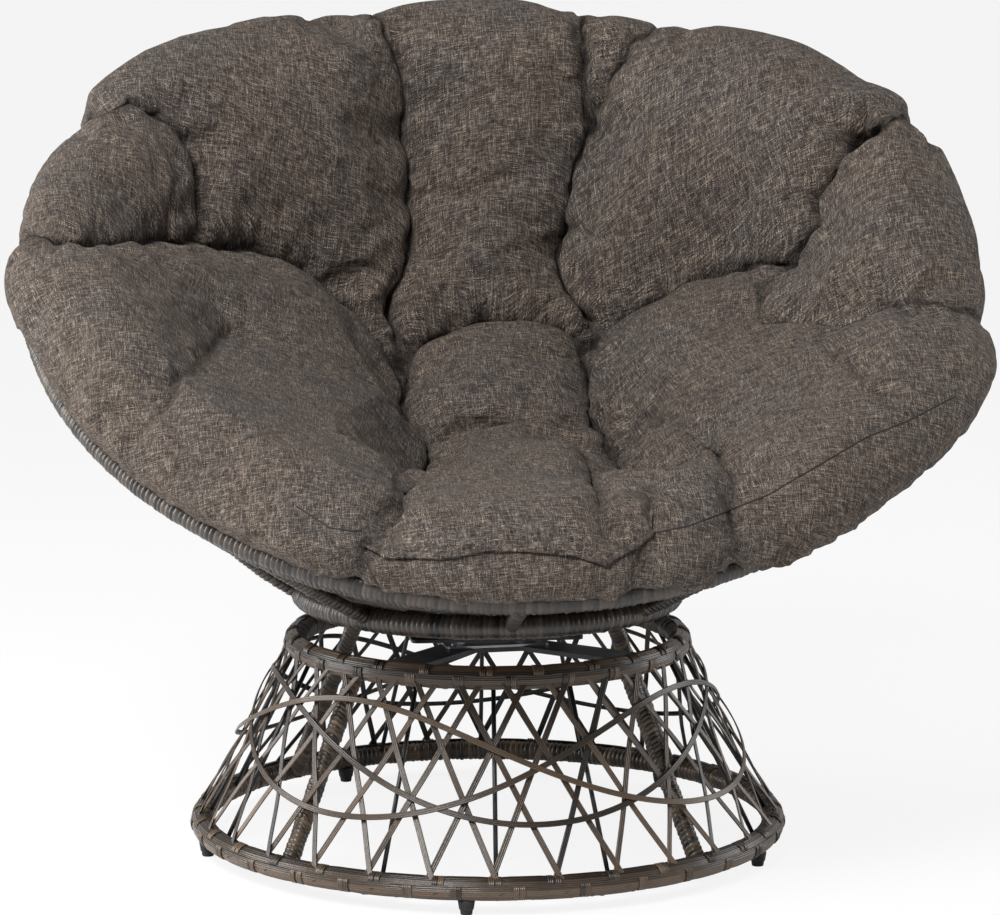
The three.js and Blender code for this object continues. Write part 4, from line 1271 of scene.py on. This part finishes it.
flat_of = np.stack([aside, -ahead_of, 0 * lie], 1) * (lie / np.maximum(radius, MM))[:, None]
print("cloth spread flat:", round(float(np.abs(flat_of).max()), 3), "m from its middle")

# %% Distances from the creases
CELLS_BLENDED, BLEND_NEAR = 5, 2 * MM
crease_of = np.zeros(len(before))
for index, spot in enumerate(before):
    around = grid_tree.find_n(spot, CELLS_BLENDED)
    shares = np.array([1 / (cell[2] + BLEND_NEAR) for cell in around])
    distances = nearest_crease.ravel()[[cell[1] for cell in around]]
    crease_of[index] = shares @ distances / shares.sum()
pad.data.attributes.new("flat_place", "FLOAT_VECTOR", "POINT").data.foreach_set(
    "vector", flat_of.astype(np.float32).ravel())
# The crease distance sets the painted shade of the creases in the cushion cloth
pad.data.attributes.new("crease", "FLOAT", "POINT").data.foreach_set(
    "value", crease_of.astype(np.float32))
smooth = pad.modifiers.new("round", "SUBSURF")
smooth.levels = smooth.render_levels = 1
bpy.ops.object.modifier_apply(modifier=smooth.name)
pad.data.polygons.foreach_set("use_smooth", [True] * len(pad.data.polygons))
print("pad:", len(pad.data.vertices), "places")

# %% [markdown]
# The cover is a coarse tweed: pale and dark slub yarns woven over and under, about one
# millimetre apart. A picture of cloth would repeat and blur, so the weave is worked out: each
# yarn has a noise of its own, stretched along its length, and warp and weft take turns on top.

# %% Tweed yarns
YARN_RUN = 0.09  # how slowly a yarn's tone changes along it, per yarn width
YARN_APART = 5.17  # how far apart neighbouring yarns are in the noise
WARP_LAYER, WEFT_LAYER = 3.3, 9.7  # where the two sets of yarns lie in the noise
OVER_EDGE = 0.2  # how softly one yarn gives way to the other
tweed_group, start, end = shader_group(
    "tweed", [("Place", "Vector", (0, 0, 0)), ("Yarns", "Float", 1000.0),
              ("Dark", "Color", srgb(46, 40, 37)), ("Middle", "Color", srgb(89, 80, 74)),
              ("Light", "Color", srgb(147, 134, 120)), ("Cool", "Color", srgb(80, 77, 76))],
    FINISH_OUTPUTS)
yarns = put(tweed_group, "VectorMath",
            {0: start.outputs["Place"], "Scale": start.outputs["Yarns"]},
            operation="SCALE").outputs[0]
split = put(tweed_group, "SeparateXYZ", {0: yarns})


def yarn_tone(across, run, layer):
    """The tone of the yarn at a place: its own along its length, unlike its neighbours'."""
    own = calc(tweed_group, "MULTIPLY", calc(tweed_group, "FLOOR", across), YARN_APART)
    along_yarn = calc(tweed_group, "MULTIPLY", run, YARN_RUN)
    spot = put(tweed_group, "CombineXYZ", {0: own, 1: along_yarn, 2: layer}).outputs[0]
    return noise_at(tweed_group, spot, 1.0)


warp_tone = yarn_tone(split.outputs[0], split.outputs[1], WARP_LAYER)
weft_tone = yarn_tone(split.outputs[1], split.outputs[0], WEFT_LAYER)
warp_wave = calc(tweed_group, "SINE", calc(tweed_group, "MULTIPLY", split.outputs[0], math.pi))
weft_wave = calc(tweed_group, "SINE", calc(tweed_group, "MULTIPLY", split.outputs[1], math.pi))
turn_about = calc(tweed_group, "MULTIPLY", warp_wave, weft_wave)
weft_over = remap(tweed_group, turn_about, -OVER_EDGE, OVER_EDGE)
top_tone = put(tweed_group, "Mix", {0: weft_over, 2: warp_tone, 3: weft_tone}).outputs[0]
yarn_round = put(tweed_group, "Mix", {0: weft_over, 2: calc(tweed_group, "ABSOLUTE", warp_wave),
                                      3: calc(tweed_group, "ABSOLUTE", weft_wave)}).outputs[0]
print("tweed so far:", len(tweed_group.nodes), "nodes")

# %% Tweed colours
# A yarn is dark where its tone is below DARK_FROM, of middle tone from DARK_TO on and pale
# above PALE_AT. Patches of the middle tone are bluer.
DARK_FROM, DARK_TO, PALE_FROM, PALE_AT = 0.36, 0.54, 0.53, 0.70
COOL_PATCHES, COOL_FROM, COOL_TO, COOL_MOST = 7.0, 0.45, 0.62, 0.7
# Painted shade: the cloth is painted darker between yarns and down each yarn's rounded sides, and
# paler on its crown
PAINTED_SHADE_BETWEEN_YARNS, ON_YARN = 0.42, 0.75  # how dark the cloth is between yarns, and what a yarn adds
NUB_CONTRAST = 0.7
TWEED_SMOOTHEST, TWEED_ROUGHER = 0.78, 0.2
not_dark = remap(tweed_group, top_tone, DARK_FROM, DARK_TO)
pale = remap(tweed_group, top_tone, PALE_FROM, PALE_AT)
cool_patches = noise_at(tweed_group, start.outputs["Place"], COOL_PATCHES, 3.0)
cooler = remap(tweed_group, cool_patches, COOL_FROM, COOL_TO, 0.0, COOL_MOST)
middle = blend_colors(tweed_group, cooler, start.outputs["Middle"], start.outputs["Cool"])
cloth_color = blend_colors(tweed_group, not_dark, start.outputs["Dark"], middle)
cloth_color = blend_colors(tweed_group, pale, cloth_color, start.outputs["Light"])
# Painted shade between the yarns and on their rounded sides, taken from the yarn's height
between = calc(tweed_group, "MULTIPLY_ADD", yarn_round, ON_YARN, PAINTED_SHADE_BETWEEN_YARNS)
cloth_color = blend_colors(tweed_group, 1.0, cloth_color, between, "MULTIPLY")
# Nubs: each crossing of two yarns is a little paler or darker than the next
crossing = put(tweed_group, "VectorMath", {0: yarns}, operation="FLOOR").outputs[0]
nub = put(tweed_group, "TexWhiteNoise", {"Vector": crossing}).outputs["Value"]
nub_tone = calc(tweed_group, "MULTIPLY_ADD", nub, NUB_CONTRAST, 1 - NUB_CONTRAST / 2)
cloth_color = blend_colors(tweed_group, 1.0, cloth_color, nub_tone, "MULTIPLY")
tweed_rough = calc(tweed_group, "MULTIPLY_ADD", top_tone, TWEED_ROUGHER, TWEED_SMOOTHEST)
tweed_group.links.new(cloth_color, end.inputs["Color"])
tweed_group.links.new(yarn_round, end.inputs["Height"])
tweed_group.links.new(tweed_rough, end.inputs["Roughness"])
print("tweed group:", len(tweed_group.nodes), "nodes")

# %% Cushion cloth
CLOTH_SHEEN = {"Sheen_Weight": 0.03, "Sheen_Roughness": 0.5, "Specular_IOR_Level": 0.08}
CLOTH_BUMP, CLOTH_BUMP_DEPTH = 0.7, 0.4 * MM
# Painted shade: the cloth is painted darker at the bottom of each crease and up its walls, where
# occlusion shade falls: from and to a distance, and how bright
DEEP_FROM, DEEP_TO, DEEP_PAINTED_SHADE, DEEP_PALE = 3 * MM, 10 * MM, 0.2, 0.8
WALL_FROM, WALL_TO, WALL_PAINTED_SHADE = 5 * MM, 24 * MM, 0.7
cushion_cloth, tree, shader = new_finish("cushion_cloth", **CLOTH_SHEEN)
flat_spot = put(tree, "Attribute", attribute_name="flat_place").outputs["Vector"]
tweed = use_group(tree, tweed_group, {"Place": flat_spot})
crease_near = put(tree, "Attribute", attribute_name="crease").outputs["Fac"]
# Painted shade in the creases, from each place's distance to the nearest crease
deep = remap(tree, crease_near, DEEP_FROM, DEEP_TO, DEEP_PAINTED_SHADE, DEEP_PALE)
slope = remap(tree, crease_near, WALL_FROM, WALL_TO, WALL_PAINTED_SHADE, 1.0,
              interpolation_type="SMOOTHSTEP")
painted_crease_shade = calc(tree, "MULTIPLY", deep, calc(tree, "MULTIPLY", slope, 1 / DEEP_PALE))
crease_shaded_color = blend_colors(tree, 1.0, tweed.outputs["Color"], painted_crease_shade, "MULTIPLY")
dress(tree, shader, tweed, CLOTH_BUMP, CLOTH_BUMP_DEPTH, crease_shaded_color)
pad.data.materials.clear()
pad.data.materials.append(cushion_cloth)
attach(pad, "cushion_body")
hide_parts("cushion")
print("cushion dressed in", cushion_cloth.name)

# %% [markdown]
# The front roll ends in a loose flap with a stitched hem that stands off the boxing below it.
# Seams are sewn along the right of the pad and at the front left. They are laid on the
# stuffed pad along the places where the photograph shows them.

# %% Hem
HEM = ((361, 547), (386, 560), (420, 560), (453, 559), (487, 552), (526, 553), (577, 558),
       (605, 568), (630, 552), (653, 536))
# Up the flap: how far above the hem in pixels, and the lift off the pad in mm
FLAP = ((34, -2.0), (26, 0.5), (18, 2.4), (12, 3.8), (9, 4.2), (7.5, 3.4), (6, 4.4), (2, 4.6),
        (0, 3.8), (0.5, 2.2), (4, 0.6), (10, -2.0))
HEM_STEP = 3  # pixels
pad_skin = BVHTree.FromObject(pad, bpy.context.evaluated_depsgraph_get())


def along_picture(points, step):
    """Evenly spaced picture places along a line."""
    line = np.array(points, float)
    run = np.concatenate([[0], np.cumsum(np.hypot(*np.diff(line, axis=0).T))])
    spots = np.arange(0, run[-1] + step / 2, step)
    return np.stack([np.interp(spots, run, line[:, k]) for k in (0, 1)], 1)


def on_skin(px, py, lift):
    """The place on the stuffed pad that the picture shows, lifted off it."""
    spot, normal = pad_skin.ray_cast(CAMERA_PLACE, ray_through(px, py))[:2]
    return None if spot is None else np.array(spot + normal * lift)


def flap_rows():
    """The hem's flap: one row of places across it at each step along."""
    rows = []
    for px, py in along_picture(HEM, HEM_STEP):
        row = [on_skin(px, py - above, lift * MM) for above, lift in FLAP]
        if all(spot is not None for spot in row):
            rows.append(row)
    return np.array(rows)


flap_places = flap_rows()
count = flap_places.shape[1]
faces = [(i * count + k, i * count + k + 1, (i + 1) * count + k + 1, (i + 1) * count + k)
         for i in range(len(flap_places) - 1) for k in range(count - 1)]
flap = piece("front_flap", [(flap_places.reshape(-1, 3), faces, 0.0)], cushion_cloth,
             "cushion_body")
pad_tree = kdtree.KDTree(len(pad.data.vertices))
for index, vertex in enumerate(pad.data.vertices):
    pad_tree.insert(vertex.co, index)
pad_tree.balance()
pad_flat = pad.data.attributes["flat_place"].data
below_flap = [pad_tree.find(vertex.co)[1] for vertex in flap.data.vertices]
flap.data.attributes.new("flat_place", "FLOAT_VECTOR", "POINT").data.foreach_set(
    "vector", np.array([pad_flat[i].vector for i in below_flap], np.float32).ravel())
# The flap is far from every crease, so it gets no painted crease shade
flap.data.attributes.new("crease", "FLOAT", "POINT").data.foreach_set(
    "value", np.ones(len(below_flap), np.float32))

# %% Seams
SEAMS = {
    "right_seam": ((653, 533), (689, 526), (728, 511), (770, 494), (867, 437), (908, 421),
                   (956, 396)),
    "left_seam": ((296, 506), (330, 528), (352, 531), (376, 530)),
    "boxing_seam": ((361, 554), (374, 578), (386, 598)),
}
SEAM_THREAD, SEAM_LIFT, SEAM_SIDES, SEAM_STEP = 0.9 * MM, 0.1 * MM, 8, 2
SEAM_FACE = (0, -0.3, 1)  # forwards and up
THREAD_FIBRES = 900.0  # to the metre
seam_parts = []
for points in SEAMS.values():
    spots = [on_skin(px, py, SEAM_LIFT) for px, py in along_picture(points, SEAM_STEP)]
    line = np.array([spot for spot in spots if spot is not None])
    part = sweep(line, carried(SEAM_FACE, tangents_of(line, False)),
                 circle(SEAM_SIDES, SEAM_THREAD), False)
    seam_parts.append((*part, 0.0))
sewing, tree, shader = new_finish("sewing_thread", Roughness=0.8)
fibres = noise_at(tree, put(tree, "TexCoord").outputs["Object"], THREAD_FIBRES)
thread_color = blend_colors(tree, fibres, srgb(16, 14, 12), srgb(44, 38, 33))
tree.links.new(thread_color, shader.inputs["Base Color"])
piece("cushion_seams", seam_parts, sewing, "cushion_body")

# %% [markdown]
# The photograph's ground is white with a soft shadow. The floor is pale paper that glows a
# little towards the camera only, so it looks white and still takes the chair's shadow.

# %% Stage
FLOOR = 40  # metres from the middle to a side
PAPER, PAPER_GLOW = 0.8, 0.85
floor_mesh = bpy.data.meshes.new("floor")
floor_mesh.from_pydata([(-FLOOR, -FLOOR, 0), (FLOOR, -FLOOR, 0), (FLOOR, FLOOR, 0),
                        (-FLOOR, FLOOR, 0)], [], [(0, 1, 2, 3)])
floor = bpy.data.objects.new("floor", floor_mesh)
bpy.context.scene.collection.objects.link(floor)
paper, tree, shader = new_finish("paper", Roughness=0.9)
shader.inputs["Base Color"].default_value = (PAPER, PAPER, PAPER, 1)
floor_mesh.materials.append(paper)
glow = put(tree, "Emission", {"Color": (1, 1, 1, 1), "Strength": 1.0})
camera_ray = put(tree, "LightPath").outputs["Is Camera Ray"]
glowing = put(tree, "MixShader", {0: calc(tree, "MULTIPLY", camera_ray, PAPER_GLOW),
                                  1: shader.outputs[0], 2: glow.outputs[0]})
tree.links.new(glowing.outputs[0], tree.nodes["Material Output"].inputs["Surface"])
print("floor:", 2 * FLOOR, "m across")

# %% World
WORLD_LIGHT = 0.4
world = bpy.data.worlds.new("studio")
bpy.context.scene.world = world
world.use_nodes = True
tree = world.node_tree
dim = tree.nodes["Background"]
dim.inputs["Color"].default_value = (1, 1, 1, 1)
dim.inputs["Strength"].default_value = WORLD_LIGHT
white = put(tree, "Background", {"Color": (1, 1, 1, 1), "Strength": 1.0})
camera_ray = put(tree, "LightPath").outputs["Is Camera Ray"]
around = put(tree, "MixShader", {0: camera_ray, 1: dim.outputs[0], 2: white.outputs[0]})
tree.links.new(around.outputs[0], tree.nodes["World Output"].inputs["Surface"])
print("world light:", WORLD_LIGHT)

# %% Lamps
# Each soft box: where it stands, where it looks, its size in metres and its watts
LAMPS = {
    "key_lamp": ((-1.4, -2.0, 2.7), (0, 0, 0.4), 1.4, 132),
    "left_panel": ((-2.4, 0.2, 0.9), (0, 0, 0.3), 1.4, 50),
    "right_panel": ((2.4, 0.4, 0.9), (0, 0, 0.3), 1.4, 24),
}


def soft_lamp(name, stand, target, size, watts):
    """A square soft box that looks at a place."""
    lamp = bpy.data.objects.new(name, bpy.data.lights.new(name, "AREA"))
    bpy.context.scene.collection.objects.link(lamp)
    lamp.location = stand
    lamp.rotation_euler = (Vector(target) - Vector(stand)).to_track_quat("-Z", "Y").to_euler()
    lamp.data.size, lamp.data.energy = size, watts


for name, settings in LAMPS.items():
    soft_lamp(name, *settings)
print("lamps:", list(LAMPS))
bpy.context.scene.view_settings.view_transform = "Standard"
